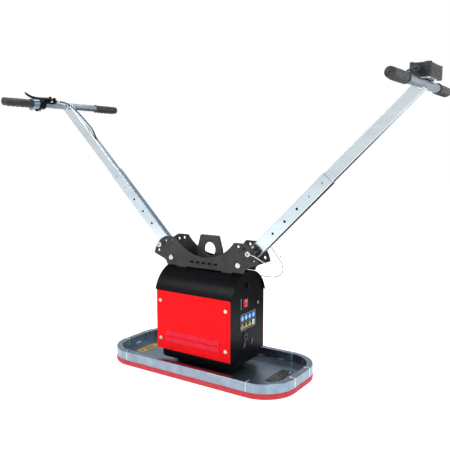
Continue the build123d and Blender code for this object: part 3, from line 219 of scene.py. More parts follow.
ALONG_TUBE = (0.12, 1.0, 1.0)
MATERIALS = {
    "galvanised": metal("galvanised", (0.21, 0.27, 0.33), (0.28, 0.35, 0.41), (0.26, 0.36),
                        bump=0.00002),
    "floor_sheet": metal("floor_sheet", (0.20, 0.26, 0.32), (0.28, 0.34, 0.41), (0.30, 0.42),
                         stretch=(0.3, 1.0, 1.0), bump=0.00002),
    "zinc_tube": metal("zinc_tube", (0.66, 0.70, 0.73), (0.80, 0.83, 0.84), (0.24, 0.38)),
    "right_tube": metal("right_tube", (0.55, 0.61, 0.64), (0.62, 0.68, 0.70), (0.16, 0.24),
                        stretch=ALONG_TUBE, turn_y=HANDLE_ANGLE, bump=0.000012),
    "left_tube": metal("left_tube", (0.55, 0.61, 0.64), (0.62, 0.68, 0.70), (0.16, 0.24),
                       stretch=ALONG_TUBE, turn_y=-HANDLE_ANGLE, bump=0.000012),
    "bar_metal": metal("bar_metal", (0.24, 0.29, 0.33), (0.33, 0.38, 0.42), (0.28, 0.42),
                       stretch=(1.0, 0.15, 1.0)),
    "zinc_fastener": metal("zinc_fastener", (0.50, 0.49, 0.47), (0.64, 0.63, 0.60), (0.2, 0.34)),
    "screw_cream": metal("screw_cream", (0.62, 0.54, 0.38), (0.78, 0.70, 0.52), (0.34, 0.46)),
    "weld": metal("weld", (0.62, 0.66, 0.70), (0.85, 0.87, 0.88), (0.22, 0.45), bump=0.0002),
    "brass_part": metal("brass_part", (0.68, 0.50, 0.22), (0.78, 0.60, 0.30), (0.25, 0.4)),
    "spring_steel": metal("spring_steel", (0.5, 0.5, 0.52), (0.6, 0.6, 0.61), (0.3, 0.45)),
    "cast_body": metal("cast_body", (0.52, 0.52, 0.53), (0.64, 0.64, 0.65), (0.42, 0.6),
                       bump=0.0003),
    "black_coated": coated("black_coated", (0.0012, 0.0012, 0.0014), (0.003, 0.003, 0.0034),
                           (0.30, 0.42), specular=0.09, depth=0.00003),
    "bracket_coated": coated("bracket_coated", (0.016, 0.015, 0.014), (0.030, 0.028, 0.026),
                             (0.42, 0.60), grain=1300.0, depth=0.0001, specular=0.35),
    "red_paint": coated("red_paint", (0.72, 0.002, 0.005), (0.80, 0.004, 0.007), (0.30, 0.42),
                        specular=0.07, depth=0.00003),
    "black_plastic": coated("black_plastic", (0.012, 0.012, 0.013), (0.026, 0.026, 0.028),
                            (0.38, 0.55), grain=1500.0, depth=0.0001),
    # lighter, pinker copy of the red paint: a painted highlight on the louvre faces
    "red_louvre_painted_highlight": coated("red_louvre_painted_highlight", (0.62, 0.010, 0.030), (0.70, 0.014, 0.038), (0.45, 0.6),
                         specular=0.12, depth=0.00003),
    "red_plastic": coated("red_plastic", (0.55, 0.01, 0.015), (0.66, 0.015, 0.02), (0.2, 0.3)),
    "battery_case": coated("battery_case", (0.08, 0.095, 0.11), (0.12, 0.14, 0.16), (0.4, 0.55)),
    "motor_case": coated("motor_case", (0.03, 0.03, 0.035), (0.06, 0.06, 0.07), (0.3, 0.45)),
    "circuit": coated("circuit", (0.02, 0.17, 0.08), (0.04, 0.24, 0.11), (0.25, 0.4)),
    "black_rubber": coated("black_rubber", (0.012, 0.012, 0.012), (0.025, 0.025, 0.025),
                           (0.5, 0.68), grain=700.0, depth=0.0002, specular=0.3),
    "grip_rubber": coated("grip_rubber", (0.010, 0.010, 0.011), (0.022, 0.022, 0.023),
                          (0.38, 0.55), grain=1100.0, depth=0.00015),
    "cable_sheath": coated("cable_sheath", (0.008, 0.008, 0.009), (0.02, 0.02, 0.021), (0.3, 0.45)),
    "grey_sheath": coated("grey_sheath", (0.24, 0.245, 0.25), (0.33, 0.335, 0.34), (0.4, 0.55)),
    "white_coating": coated("white_coating", (0.56, 0.58, 0.61), (0.68, 0.70, 0.72), (0.25, 0.4)),
    "mark_white": coated("mark_white", (0.70, 0.71, 0.72), (0.82, 0.83, 0.84), (0.35, 0.5)),
    "mark_blue": coated("mark_blue", (0.03, 0.26, 0.78), (0.04, 0.32, 0.86), (0.3, 0.45)),
    "mark_yellow": coated("mark_yellow", (0.42, 0.34, 0.03), (0.52, 0.42, 0.05), (0.3, 0.45)),
    "mark_dark": coated("mark_dark", (0.02, 0.018, 0.014), (0.05, 0.045, 0.035), (0.4, 0.55)),
    # grey of the panel clips: a painted highlight along dark raised ribs
    "clip_grey_painted_highlight": coated("clip_grey_painted_highlight", (0.06, 0.06, 0.065), (0.12, 0.12, 0.125), (0.4, 0.55)),
    "mark_grey": coated("mark_grey", (0.26, 0.27, 0.28), (0.36, 0.37, 0.38), (0.4, 0.55)),
}


def sponge():
    made = Surface("red_sponge", specular=0.25, sheen=0.15)
    made.colour((0.44, 0.030, 0.038), (0.54, 0.044, 0.052), 55.0)
    made.speckle((0.36, 0.010, 0.014), 1500.0, 0.58, 0.72, 0.7)
    made.roughness(0.78, 0.95, 200.0)
    made.bump(1400.0, 0.0006, strength=0.8, kind="F1")
    made.bump(260.0, 0.0006, strength=0.4)
    return made.material


def clear_bowl():
    made = Surface("clear_bowl", transmission=0.9)
    made.colour((0.75, 0.82, 0.85), (0.86, 0.92, 0.94), 30.0)
    made.roughness(0.05, 0.14, 60.0)
    return made.material


def label_film():
    """Ochre film on the left plate, black film on the other two."""
    made = Surface("label_film", specular=0.12)
    made.colour((0.52, 0.30, 0.035), (0.62, 0.38, 0.055), 60.0)
    parts = node(made.tree, "ShaderNodeSeparateXYZ")
    made.tree.links.new(made.place, parts.inputs["Vector"])
    side = ranged(made.tree, parts.outputs["X"], 0.0, 1.0, -0.001, 0.001)
    texture = noise_node(made.tree, made.place, 70.0)
    factor = ranged(made.tree, texture.outputs["Fac"], 0.0, 1.0)
    black = blended(made.tree, factor, (0.006, 0.007, 0.009), (0.016, 0.017, 0.02))
    mixed = blended(made.tree, side, made.colour_socket, black)
    made.tree.links.new(mixed, made.shader.inputs["Base Color"])
    made.roughness(0.22, 0.34, 80.0)
    made.bump(500.0, 0.00004)
    return made.material


MATERIALS["red_sponge"] = sponge()
MATERIALS["clear_bowl"] = clear_bowl()
MATERIALS["label_film"] = label_film()

NODE_MATERIALS = {
    "suction_plate": "floor_sheet",
    "panel_screws": "screw_cream",
    "left_outer_tube": "left_tube",
    "left_inner_tube": "left_tube",
    "right_outer_tube": "right_tube",
    "right_inner_tube": "right_tube",
    "left_crossbar": "bar_metal",
    "right_crossbar": "bar_metal",
}
SLOT_OF = {row["node"]: row["material_slot"] for row in frame["record"]["subparts"]}


def paint(piece, material):
    piece.data.materials.clear()
    piece.data.materials.append(material)


for name, cad_node in NODES.items():
    paint(cad_node, MATERIALS[NODE_MATERIALS.get(name, SLOT_OF[name])])


# ---- softened sheet edges on the CAD pieces ----------------------------------------------------
JOIN_DISTANCE = 0.01 * MM
EDGE_ANGLE = radians(38.0)


def soften(name, width):
    """Round a CAD piece's sharp edges by a width in millimetres."""
    piece = NODES[name]
    weld = piece.modifiers.new("join", "WELD")
    weld.merge_threshold = JOIN_DISTANCE
    bevel = piece.modifiers.new("edge", "BEVEL")
    bevel.width = width * MM
    bevel.segments = 2
    bevel.limit_method = "ANGLE"
    bevel.angle_limit = EDGE_ANGLE
    bevel.use_clamp_overlap = True
    normals = piece.modifiers.new("normals", "WEIGHTED_NORMAL")
    normals.weight = 60


SOFT_EDGES = {
    "bracket_plate_front": 0.7, "bracket_plate_rear": 0.7, "lifting_eye": 1.0, "plinth": 1.0,
    "control_box_lid": 0.6, "control_box_base": 0.6, "box_bracket": 0.6, "release_lever": 1.0,
    "lever_clamp": 0.6, "lever_perch": 1.0, "switch_bezel": 0.5, "rocker_switch": 0.5,
    "charging_socket": 0.5, "cable_gland": 0.6, "frame_bolts": 0.5,
}
for name, width in SOFT_EDGES.items():
    soften(name, width)


# ---- mesh builders -----------------------------------------------------------------------------
def add_piece(name, vertices, faces, body, material, smooth=True):
    mesh = bpy.data.meshes.new(name)
    mesh.from_pydata([tuple(vertex) for vertex in vertices], [], faces)
    mesh.validate()
    for polygon in mesh.polygons:
        polygon.use_smooth = smooth
    mesh.update()
    piece = bpy.data.objects.new(name, mesh)
    scene.collection.objects.link(piece)
    paint(piece, MATERIALS[material])
    if body:
        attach(piece, body)
    return piece


class Shape:
    """Vertices and faces of one piece that is made of several lofts."""

    def __init__(self):
        self.vertices = []
        self.faces = []

    def loft(self, rings, closed_path=False, caps=True):
        start = len(self.vertices)
        count = len(rings[0])
        for ring in rings:
            self.vertices.extend(ring)
        steps = len(rings) if closed_path else len(rings) - 1
        for step in range(steps):
            here = start + step * count
            there = start + ((step + 1) % len(rings)) * count
            for side in range(count):
                following = (side + 1) % count
                self.faces.append((here + side, here + following, there + following, there + side))
        if caps and not closed_path:
            self.faces.append(tuple(start + side for side in reversed(range(count))))
            last = start + (len(rings) - 1) * count
            self.faces.append(tuple(last + side for side in range(count)))
        return self

    def finish(self, name, body, material, slot, smooth=True):
        return add_piece(name, self.vertices, self.faces, body, material, smooth)


def frame_of(direction):
    """Two unit vectors square to a direction."""
    direction = direction.normalized()
    helper = Vector((0, 0, 1)) if abs(direction.z) < 0.9 else Vector((1, 0, 0))
    side = direction.cross(helper).normalized()
    return side, side.cross(direction).normalized()


def circle(centre, side, up, radius, count):
    ring = []
    for step in range(count):
        angle = 2 * pi * step / count
        ring.append(centre + side * (radius * cos(angle)) + up * (radius * sin(angle)))
    return ring


def turned(shape, start, direction, profile, count):
    """A lathe shape: profile is (distance along, radius) in millimetres."""
    direction = Vector(direction).normalized()
    side, up = frame_of(direction)
    rings = []
    for along, radius in profile:
        rings.append(circle(metres(start) + direction * (along * MM), side, up, radius * MM, count))
    return shape.loft(rings)


def weld_bead(shape, points, radius, pitch=1.5):
    """A rippled weld seam that follows straight runs between points, in millimetres."""
    path = []
    for first, second in zip(points, points[1:]):
        first, second = Vector(first), Vector(second)
        length = (second - first).length
        steps = max(2, int(length / (pitch / 4)))
        for step in range(steps):
            path.append(first.lerp(second, step / steps))
    path.append(Vector(points[-1]))
    rings = []
    travelled = 0.0
    for index, place in enumerate(path):
        before, after = path[max(index - 1, 0)], path[min(index + 1, len(path) - 1)]
        travelled += (place - before).length
        side, up = frame_of(after - before)
        ripple = 0.84 + 0.16 * abs(sin(pi * travelled / pitch))
        uneven = 1.0 + 0.12 * noise.noise(place * 0.35)
        ends = min(1.0, 0.35 + min(index, len(path) - 1 - index) * 0.35)
        rings.append(circle(place * MM, side, up, radius * ripple * uneven * ends * MM, 8))
    return shape.loft(rings)


def rounded_outline(half_x, half_y, corner, step=6.0):
    """Points and outward normals round a rounded rectangle, in millimetres."""
    points = []
    straight_x, straight_y = half_x - corner, half_y - corner
    corners = ((straight_x, straight_y, 0), (-straight_x, straight_y, 1),
               (-straight_x, -straight_y, 2), (straight_x, -straight_y, 3))
    for number, (x, y, quarter) in enumerate(corners):
        arc_steps = max(4, int(corner * pi / 2 / step))
        for index in range(arc_steps + 1):
            angle = pi / 2 * (quarter + index / arc_steps)
            normal = Vector((cos(angle), sin(angle), 0))
            points.append((Vector((x, y, 0)) + normal * corner, normal))
        following = corners[(number + 1) % 4]
        last_point, last_normal = points[-1]
        goal = Vector((following[0], following[1], 0)) + last_normal * corner
        run = (goal - last_point).length
        for index in range(1, max(1, int(run / step))):
            points.append((last_point.lerp(goal, index / max(1, int(run / step))), last_normal))
    return points


# ---- sponge seal -------------------------------------------------------------------------------
def sponge_seal():
    """Sponge strip under the rim: slightly bulged sides, soft edges, uneven cut surface."""
    half = RAIL_WIDTH / 2
    profile = []
    for across, height in ((-9.3, 0.0), (-10.1, 1.1), (-10.7, 5.0), (-10.9, 9.0), (-10.7, 13.0),
                           (-10.1, 17.0), (-9.6, 17.9), (9.6, 17.9), (10.1, 17.0), (10.7, 13.0),
                           (10.9, 9.0), (10.7, 5.0), (10.1, 1.1), (9.3, 0.0)):
        profile.append((across, height))
    rings = []
    for place, normal in rounded_outline(HALF_LENGTH - half, HALF_WIDTH - half, PLATE_CORNER - half, 3.0):
        ring = []
        for across, height in profile:
            point = place + normal * across + Vector((0, 0, height))
            wobble = 0.35 * noise.noise(point * 0.09) + 0.22 * noise.noise(point * 0.6)
            inside = 1.0 if 0.5 < height < 17.5 else 0.0
            ring.append((point + normal * (wobble * inside * (1 if across > 0 else -1))) * MM)
        rings.append(ring)
    piece = Shape().loft(rings, closed_path=True).finish("sponge_seal", "root", "red_sponge", "red_sponge")
    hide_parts("seal_ring")
    return piece


sponge_seal()


# ---- weld seams --------------------------------------------------------------------------------
SEAM_OUTER_FOOT, SEAM_INNER_FOOT = 19.5, 22.0
RIM_BEAD_RADIUS, TACK_RADIUS, BAR_BEAD_RADIUS = 1.3, 1.8, 1.5
TACK_PLACES = (-200, -120, -40, 40, 120, 200)
TUBE_FACE_Y, COPE_RADIUS = 10.1, 13.2


def rim_welds():
    """Seams where the rim's rails meet its bends."""
    shape = Shape()
    straight_x, straight_y = HALF_LENGTH - PLATE_CORNER, HALF_WIDTH - PLATE_CORNER
    for side_x in (-1, 1):
        for side_y in (-1, 1):
            x, y = side_x * straight_x, side_y * straight_y
            outer_x, inner_x = side_x * HALF_LENGTH, side_x * (HALF_LENGTH - RAIL_WIDTH)
            outer_y, inner_y = side_y * HALF_WIDTH, side_y * (HALF_WIDTH - RAIL_WIDTH)
            over_long_rail = [(x, outer_y, SEAM_OUTER_FOOT), (x, outer_y, RIM_TOP),
                              (x, inner_y, RIM_TOP), (x, inner_y, SEAM_INNER_FOOT)]
            over_short_rail = [(outer_x, y, SEAM_OUTER_FOOT), (outer_x, y, RIM_TOP),
                               (inner_x, y, RIM_TOP), (inner_x, y, SEAM_INNER_FOOT)]
            weld_bead(shape, over_long_rail, RIM_BEAD_RADIUS)
            weld_bead(shape, over_short_rail, RIM_BEAD_RADIUS)
    shape.finish("rim_welds", "root", "weld", "galvanised")


def floor_welds():
    """Short tacks between the floor sheet and the rim."""
    shape = Shape()
    inner_y, inner_x = HALF_WIDTH - RAIL_WIDTH, HALF_LENGTH - RAIL_WIDTH
    for side in (-1, 1):
        for x in TACK_PLACES:
            tack = [(x - 9, side * inner_y, FLOOR_TOP), (x + 9, side * inner_y, FLOOR_TOP)]
            weld_bead(shape, tack, TACK_RADIUS)
        end_tack = [(side * inner_x, -12, FLOOR_TOP), (side * inner_x, 12, FLOOR_TOP)]
        weld_bead(shape, end_tack, TACK_RADIUS)
    shape.finish("floor_tack_welds", "root", "weld", "galvanised")


def handle_point(side, along, across, y):
    """Point in a handle's frame, in millimetres: along the tube, out of its upper face, y."""
    x = PIVOT[0] + along * cos(HANDLE_ANGLE) - across * sin(HANDLE_ANGLE)
    z = PIVOT[1] + along * sin(HANDLE_ANGLE) + across * cos(HANDLE_ANGLE)
    return side * x, y, z


def bar_welds():
    """Weld bead where each inner tube is coped round its crossbar."""
    for side, body, name in ((-1, "left_inner", "left_bar_weld"), (1, "right_inner", "right_bar_weld")):
        shape = Shape()
        for y in (-TUBE_FACE_Y, TUBE_FACE_Y):
            points = []
            for step in range(9):
                angle = radians(90 + step * 22.5)
                along = BAR_POSITION + COPE_RADIUS * cos(angle)
                points.append(handle_point(side, along, COPE_RADIUS * sin(angle), y))
            weld_bead(shape, points, BAR_BEAD_RADIUS, pitch=1.8)
        shape.finish(name, body, "weld", "galvanised")


rim_welds()
floor_welds()
bar_welds()


# ---- grips -------------------------------------------------------------------------------------
RIDGE_PITCH, RIDGE_HEIGHT = 19.0, 2.8
RIDGES_FROM, RIDGES_TO = 12.0, 107.0
RIB_PITCH, RIB_HEIGHT = 4.2, 0.10
COLLAR_LENGTH, COLLAR_SWELL = 7.0, 1.3
END_HOLE_RADIUS = 2.5
GRIP_SIDES, GRIP_STEPS = 48, 110


def grip_radius(along, angle):
    """Outer radius: a collar at the inner end, finger ridges below, fine ribs round the top."""
    under = max(0.0, -sin(angle)) ** 4
    ridge = 0.8
    if RIDGES_FROM < along < RIDGES_TO:
        ridge = RIDGE_HEIGHT * abs(sin(pi * (along - RIDGES_FROM) / RIDGE_PITCH))
    ribs = RIB_HEIGHT * (1.0 if sin(2 * pi * along / RIB_PITCH) > 0 else 0.0) * (1.0 - under)
    swell = 0.5 * sin(pi * along / GRIP_LENGTH)
    radius = GRIP_RADIUS - 1.1 + swell + under * ridge + ribs
    collar_start = GRIP_LENGTH - COLLAR_LENGTH
    if along > collar_start:
        radius = GRIP_RADIUS + COLLAR_SWELL * sin(pi * (along - collar_start) / COLLAR_LENGTH)
    return radius


def grip(shape, bar_side, end, inward):
    """One grip: its closed end with a small hole, then the sleeve, from the bar's end inwards."""
    centre = Vector((bar_side * BAR_X, end, BAR_Z))
    direction = Vector((0, inward, 0))
    rings = []

    def ring_at(along, radius_of):
        ring = []
        for step in range(GRIP_SIDES):
            angle = 2 * pi * step / GRIP_SIDES
            radius = radius_of(angle)
            outwards = Vector((radius * cos(angle), 0, radius * sin(angle)))
            ring.append((centre + direction * along + outwards) * MM)
        return ring

    rings.append(ring_at(3.0, lambda angle: 0.4))
    rings.append(ring_at(3.0, lambda angle: END_HOLE_RADIUS))
    rings.append(ring_at(0.6, lambda angle: END_HOLE_RADIUS))
    for along, radius in ((0.2, 3.0), (0.0, 5.0), (0.0, 7.0), (0.5, 7.3), (0.5, 8.4), (0.0, 8.7),
                          (0.0, 10.6), (0.4, 12.2), (1.4, 13.5)):
        rings.append(ring_at(along, lambda angle, radius=radius: radius))
    for step in range(GRIP_STEPS + 1):
        along = 2.8 + (GRIP_LENGTH - 2.8) * step / GRIP_STEPS
        rings.append(ring_at(along, lambda angle, along=along: grip_radius(along, angle)))
    rings.append(ring_at(GRIP_LENGTH, lambda angle: BAR_RADIUS + 0.1))
    return shape.loft(rings)


for bar_side, ends, body, name in ((-1, LEFT_BAR_ENDS, "left_inner", "left_grips"),
                                   (1, RIGHT_BAR_ENDS, "right_inner", "right_grips")):
    grip_shape = Shape()
    grip(grip_shape, bar_side, ends[0], 1)
    grip(grip_shape, bar_side, ends[1], -1)
    made = grip_shape.finish(name + "_ribbed", body, "grip_rubber", "grip_rubber")
    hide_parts(name)


# ---- control box detail ------------------------------------------------------------------------
BOX_X, BOX_Y = (650.0, 706.0), (-20.0, 100.0)
BOX_BOTTOM = BAR_Z + BAR_RADIUS + 3.05
BOX_SPLIT, BOX_TOP = BOX_BOTTOM + 26.0, BOX_BOTTOM + 37.0
BOX_SCREW_INSET, BOX_CORNER, RIB_SPACING = 5.5, 5.0, 4.2
PUSH_BUTTON_PLACE = (688.0, 6.0)


def box_ribs():
    """Moulded ribs round the box's walls and a lip along its split line."""
    shape = Shape()
    centre = Vector(((BOX_X[0] + BOX_X[1]) / 2, (BOX_Y[0] + BOX_Y[1]) / 2, 0))
    half_x, half_y = (BOX_X[1] - BOX_X[0]) / 2, (BOX_Y[1] - BOX_Y[0]) / 2
    levels = [(BOX_BOTTOM + 4.0 + RIB_SPACING * step, 1.5, 0.9) for step in range(5)]
    levels.append((BOX_SPLIT - 0.8, 1.6, 1.4))
    levels.append((BOX_SPLIT + 5.5, 1.4, 0.9))
    for height, thick, proud in levels:
        rings = []
        for place, normal in rounded_outline(half_x, half_y, BOX_CORNER, 4.0):
            ring = []
            for across, rise in ((-0.6, -thick / 2), (proud * 0.7, -thick / 2), (proud, -thick / 4),
                                 (proud, thick / 4), (proud * 0.7, thick / 2), (-0.6, thick / 2)):
                ring.append((centre + place + normal * across + Vector((0, 0, height + rise))) * MM)
            rings.append(ring)
        shape.loft(rings, closed_path=True)
    shape.finish("control_box_ribs", "right_inner", "black_plastic", "black_plastic")


def box_lugs():
    """Rounded lugs round the lid's four screws and the collar of the push button."""
    shape = Shape()
    lug = [(0, 6.2), (1.2, 6.0), (1.8, 5.4), (1.8, 3.4), (-1.0, 3.4)]
    for x in (BOX_X[0] + BOX_SCREW_INSET, BOX_X[1] - BOX_SCREW_INSET):
        for y in (BOX_Y[0] + BOX_SCREW_INSET, BOX_Y[1] - BOX_SCREW_INSET):
            turned(shape, (x, y, BOX_TOP - 0.4), (0, 0, 1), lug, 24)
    collar = [(-0.5, 9.4), (1.6, 9.2), (2.4, 8.4), (2.4, 7.0), (-0.5, 6.8)]
    turned(shape, (*PUSH_BUTTON_PLACE, BOX_TOP), (0, 0, 1), collar, 32)
    shape.finish("control_box_lugs", "right_inner", "black_plastic", "black_plastic")


box_ribs()
box_lugs()


# ---- marks on the labels and the switch --------------------------------------------------------
MARK_THICKNESS = 0.25


def inlay(shape, outline, origin, side, up, out):
    """A thin flat mark: outline is (across, height) in millimetres on the plane of side and up."""
    low, high = [], []
    for across, height in outline:
        point = Vector(origin) + Vector(side) * across + Vector(up) * height
        low.append((point - Vector(out) * 0.05) * MM)
        high.append((point + Vector(out) * MARK_THICKNESS) * MM)
    return shape.loft([low, high])


def disc(across, height, radius, count=24):
    points = []
    for step in range(count):
        angle = 2 * pi * step / count
        points.append((across + radius * cos(angle), height + radius * sin(angle)))
    return points


def bar(low_a, high_a, low_b, high_b):
    return [(low_a, low_b), (high_a, low_b), (high_a, high_b), (low_a, high_b)]


def triangle(across, height, size):
    return [(across - size, height - size * 0.8), (across + size, height - size * 0.8),
            (across, height + size * 0.95)]


END_PLANE = ((LABEL_FACE_X, 0, 0), (0, 1, 0), (0, 0, 1), (1, 0, 0))
PLATE_PLANE = ((0, 0, LABEL_TOP), (1, 0, 0), (0, 1, 0), (0, 0, 1))
PANEL_PLANE = ((END_FACE_X, 0, 0), (0, 1, 0), (0, 0, 1), (1, 0, 0))


def marks(name, material, outlines, plane, body="root", raise_by=0.0):
    shape = Shape()
    origin = Vector(plane[0]) + Vector(plane[3]) * raise_by
    for outline in outlines:
        inlay(shape, outline, origin, *plane[1:])
    shape.finish(name, body, material, "label_film", smooth=False)


DISC_PLACES = (-32.0, -9.5, 13.0, 35.5)
TOP_ROW, LOW_ROW = 197.0, 171.5
border = [bar(-42.4, 48.4, 157.6, 158.8), bar(-42.4, 48.4, 209.2, 210.4),
          bar(-42.4, -41.2, 157.6, 210.4), bar(47.2, 48.4, 157.6, 210.4),
          bar(-39.0, 45.0, 183.7, 184.3)]
marks("pictogram_border", "mark_grey", border, END_PLANE)
marks("pictogram_discs", "mark_blue", [disc(y, TOP_ROW, 9.3) for y in DISC_PLACES], END_PLANE)
marks("pictogram_triangles", "mark_yellow", [triangle(y, LOW_ROW, 10.2) for y in DISC_PLACES[:3]], END_PLANE)
figures = [disc(y, TOP_ROW + 2.6, 2.4) for y in DISC_PLACES]
figures += [bar(y - 3.4, y + 3.4, TOP_ROW - 5.4, TOP_ROW - 1.2) for y in DISC_PLACES]
figures.append(bar(DISC_PLACES[3] - 7.4, DISC_PLACES[3] + 7.4, LOW_ROW - 8.6, LOW_ROW + 8.6))
marks("pictogram_figures", "mark_white", figures, END_PLANE, raise_by=0.2)
strokes = [bar(y - 1.0, y + 1.0, LOW_ROW - 2.6, LOW_ROW + 4.0) for y in DISC_PLACES[:3]]
strokes += [disc(y, LOW_ROW - 5.2, 1.1, 12) for y in DISC_PLACES[:3]]
for rise in (-5, -1, 3):
    strokes.append(bar(DISC_PLACES[3] - 5.0, DISC_PLACES[3] + 5.0, LOW_ROW + rise, LOW_ROW + rise + 1.4))
marks("pictogram_strokes", "mark_dark", strokes, END_PLANE, raise_by=0.4)

caution = [triangle(-257.0, -60.0, 8.0)]
for row, length in ((-264.0, 52.0), (-257.5, 44.0), (-251.0, 56.0)):
    caution.append(bar(row - 1.4, row + 1.4, -44.0, -44.0 + length))
marks("caution_marks", "mark_dark", caution, PLATE_PLANE)
data_lines = []
for row, length in enumerate((70, 44, 58, 36)):
    x = 256.0 + row * 8.6
    data_lines.append(bar(x - 0.5, x + 0.5, -48.0, -48.0 + length))
data_lines.append(bar(282.0, 288.0, 36.0, 50.0))
marks("data_plate_lines", "mark_grey", data_lines, PLATE_PLANE)

ROCKER_FACE = 152.6
rocker_plane = ((ROCKER_FACE, 0, 0), (0, 1, 0), (0, 0, 1), (1, 0, 0))
marks("rocker_marks", "mark_white", [bar(-17.0, -15.0, 250.0, 255.5), bar(-18.8, -13.2, 236.0, 238.0)],
      rocker_plane, body="rocker_switch")
marks("panel_strip", "mark_grey", [bar(-40.5, -38.0, 228.0, 264.0)], PANEL_PLANE)
marks("panel_triangle", "mark_grey", [triangle(67.0, 232.0, 6.0)], PANEL_PLANE)


# ---- cords -------------------------------------------------------------------------------------
def nurbs(name, route, diameter, material):
    """A round cord on one NURBS spline whose control points are the route, in millimetres."""
    data = bpy.data.curves.new(name, "CURVE")
    data.dimensions = "3D"
    data.resolution_u = 16
    data.bevel_depth = diameter / 2 * MM
    data.bevel_resolution = 5
    data.use_fill_caps = True
    spline = data.splines.new("NURBS")
    spline.points.add(len(route) - 1)
    for point, place in zip(spline.points, route):
        point.co = (*metres(place), 1.0)
    spline.order_u = 3
    spline.use_endpoint_u = True
    piece = bpy.data.objects.new(name, data)
    scene.collection.objects.link(piece)
    paint(piece, MATERIALS[material])
    return piece


def spline_points(piece):
    """Points that the cord's own spline passes through."""
    plain = piece.data.copy()
    plain.bevel_depth = 0.0
    carrier = bpy.data.objects.new("spline_reader", plain)
    mesh = bpy.data.meshes.new_from_object(carrier)
    points = [vertex.co.copy() for vertex in mesh.vertices]
    bpy.data.objects.remove(carrier)
    bpy.data.meshes.remove(mesh)
    bpy.data.curves.remove(plain)
    return points


RELEASE_ROUTE = [(-663, -56, 921.6), (-660, -35, 920.5), (-645, -18, 910), (-612, -8, 881),
                 (-573, -2, 843), (-536, 0, 809), (-518.8, 0, 762.5)]
CONTROL_ROUTE = [(675, -44, 942), (675, -62, 942), (664, -76, 934), (650, -74, 924), (642, -58, 918.5),
                 (641, -34, 918.5), (641.4, -10.5, 919.6), (648.7, 0, 912.1), (657, 0, 903.7)]
LOWER_ROUTE = [(230.9, 0, 435.5), (240, 3, 426.5), (245, 20, 404), (250, 42, 378),
               (246, 62, 352), (227, 82, 329), (189, 97, 314), (150, 106, 313),
               (125, 103, 313), (120, 88.0, 303.1)]
PIN_WIRE_ROUTE = [(187.5, -47, 411), (206, -46, 406), (226, -43, 393), (246, -32, 384),
                  (260, -14, 385), (264, 6, 395), (258, 18, 407)]

release_cable = nurbs("release_cable_sleeve", RELEASE_ROUTE, 5.0, "cable_sheath")
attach(release_cable, "left_inner")
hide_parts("release_cable")

control_cable = nurbs("control_cable_lead", CONTROL_ROUTE, 5.0, "cable_sheath")
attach(control_cable, "right_inner")
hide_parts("control_cable")

pin_wire = nurbs("pin_wire_coated", PIN_WIRE_ROUTE, 2.6, "white_coating")
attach(pin_wire, "right_lock_pin")
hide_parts("right_pin_wire")
end_way = Vector(PIN_WIRE_ROUTE[-1]) - Vector(PIN_WIRE_ROUTE[-2])
ferrule = turned(Shape(), Vector(PIN_WIRE_ROUTE[-1]) - end_way.normalized() * 7.0, end_way,
                 [(0, 1.0), (0, 1.9), (0.6, 2.2), (6.8, 2.2), (7.4, 1.8), (7.6, 0.6)], 20)
ferrule = ferrule.finish("pin_wire_ferrule", "right_lock_pin", "zinc_fastener", "zinc_fastener")


BEAM_BOLT_Z = 300.0


def beam_bolt_cap():
    """Black cap pressed over the head of the bolt at the top of the right end panel."""
    profile = [(-0.2, 8.4), (3.6, 8.4), (5.0, 7.6), (5.6, 5.6), (5.8, 0.5)]
    cap = turned(Shape(), (END_FACE_X, 0.0, BEAM_BOLT_Z), (1, 0, 0), profile, 28)
    cap.finish("beam_bolt_cap", "root", "black_coated", "black_coated")


LOUVRES = ((98.0, 111.5), (119.0, 133.0))
LOUVRE_HALF_LENGTH, LOUVRE_DEPTH, PANEL_FACE_Y = 108.0, 4.5, 104.5


def louvre_skins():
    """Rolled outer skin of the pressed louvres, on both red panels, in a lighter pink that is a painted
    highlight of light falling on their faces.
    """
    shape = Shape()
    for side in (-1, 1):
        for low, high in LOUVRES:
            rings = []
            for x, proud in ((-1.0, 0.2), (-0.995, 0.5), (-0.5, 0.5), (0.0, 0.5), (0.5, 0.5),
                             (0.995, 0.5), (1.0, 0.2)):
                ring = []
                for rise, reach in ((high + 0.6, 0.1), (high - 2.0, 1.2), (low + 3.0, LOUVRE_DEPTH - 0.6),
                                    (low + 0.6, LOUVRE_DEPTH), (low - 0.4, LOUVRE_DEPTH - 0.4),
                                    (low - 0.5, -0.3), (high, -0.3)):
                    outward = PANEL_FACE_Y + reach + (proud if reach > 0 else 0.0)
                    ring.append(metres((x * (LOUVRE_HALF_LENGTH + 0.4), side * outward, rise)))
                rings.append(ring)
            shape.loft(rings)
    shape.finish("louvre_skins", "root", "red_louvre_painted_highlight", "red_paint", smooth=False)


CLIP_PLACES, CLIP_Z, CLIP_LEAN = (-22.0, 24.0), (96.0, 118.0), 6.0


def panel_clips():
    """Two small slanted raised clips low on the right end panel, their grey a painted highlight along dark
    ribs.
    """
    shape = Shape()
    low, high = CLIP_Z
    for foot in CLIP_PLACES:
        rings = []
        for step in range(5):
            height = low + (high - low) * step / 4
            y = foot + CLIP_LEAN * step / 4
            bulge = 1.2 if step in (0, 4) else 2.2
            ring = [(END_FACE_X - 0.2, y - 3.0, height), (END_FACE_X + bulge, y - 2.4, height),
                    (END_FACE_X + bulge, y + 2.4, height), (END_FACE_X - 0.2, y + 3.0, height)]
            rings.append([metres(point) for point in ring])
        shape.loft(rings)
    shape.finish("panel_clips", "root", "clip_grey_painted_highlight", "zinc_fastener", smooth=False)


beam_bolt_cap()
louvre_skins()
panel_clips()


LOWER_CABLE_DIAMETER = 3.0


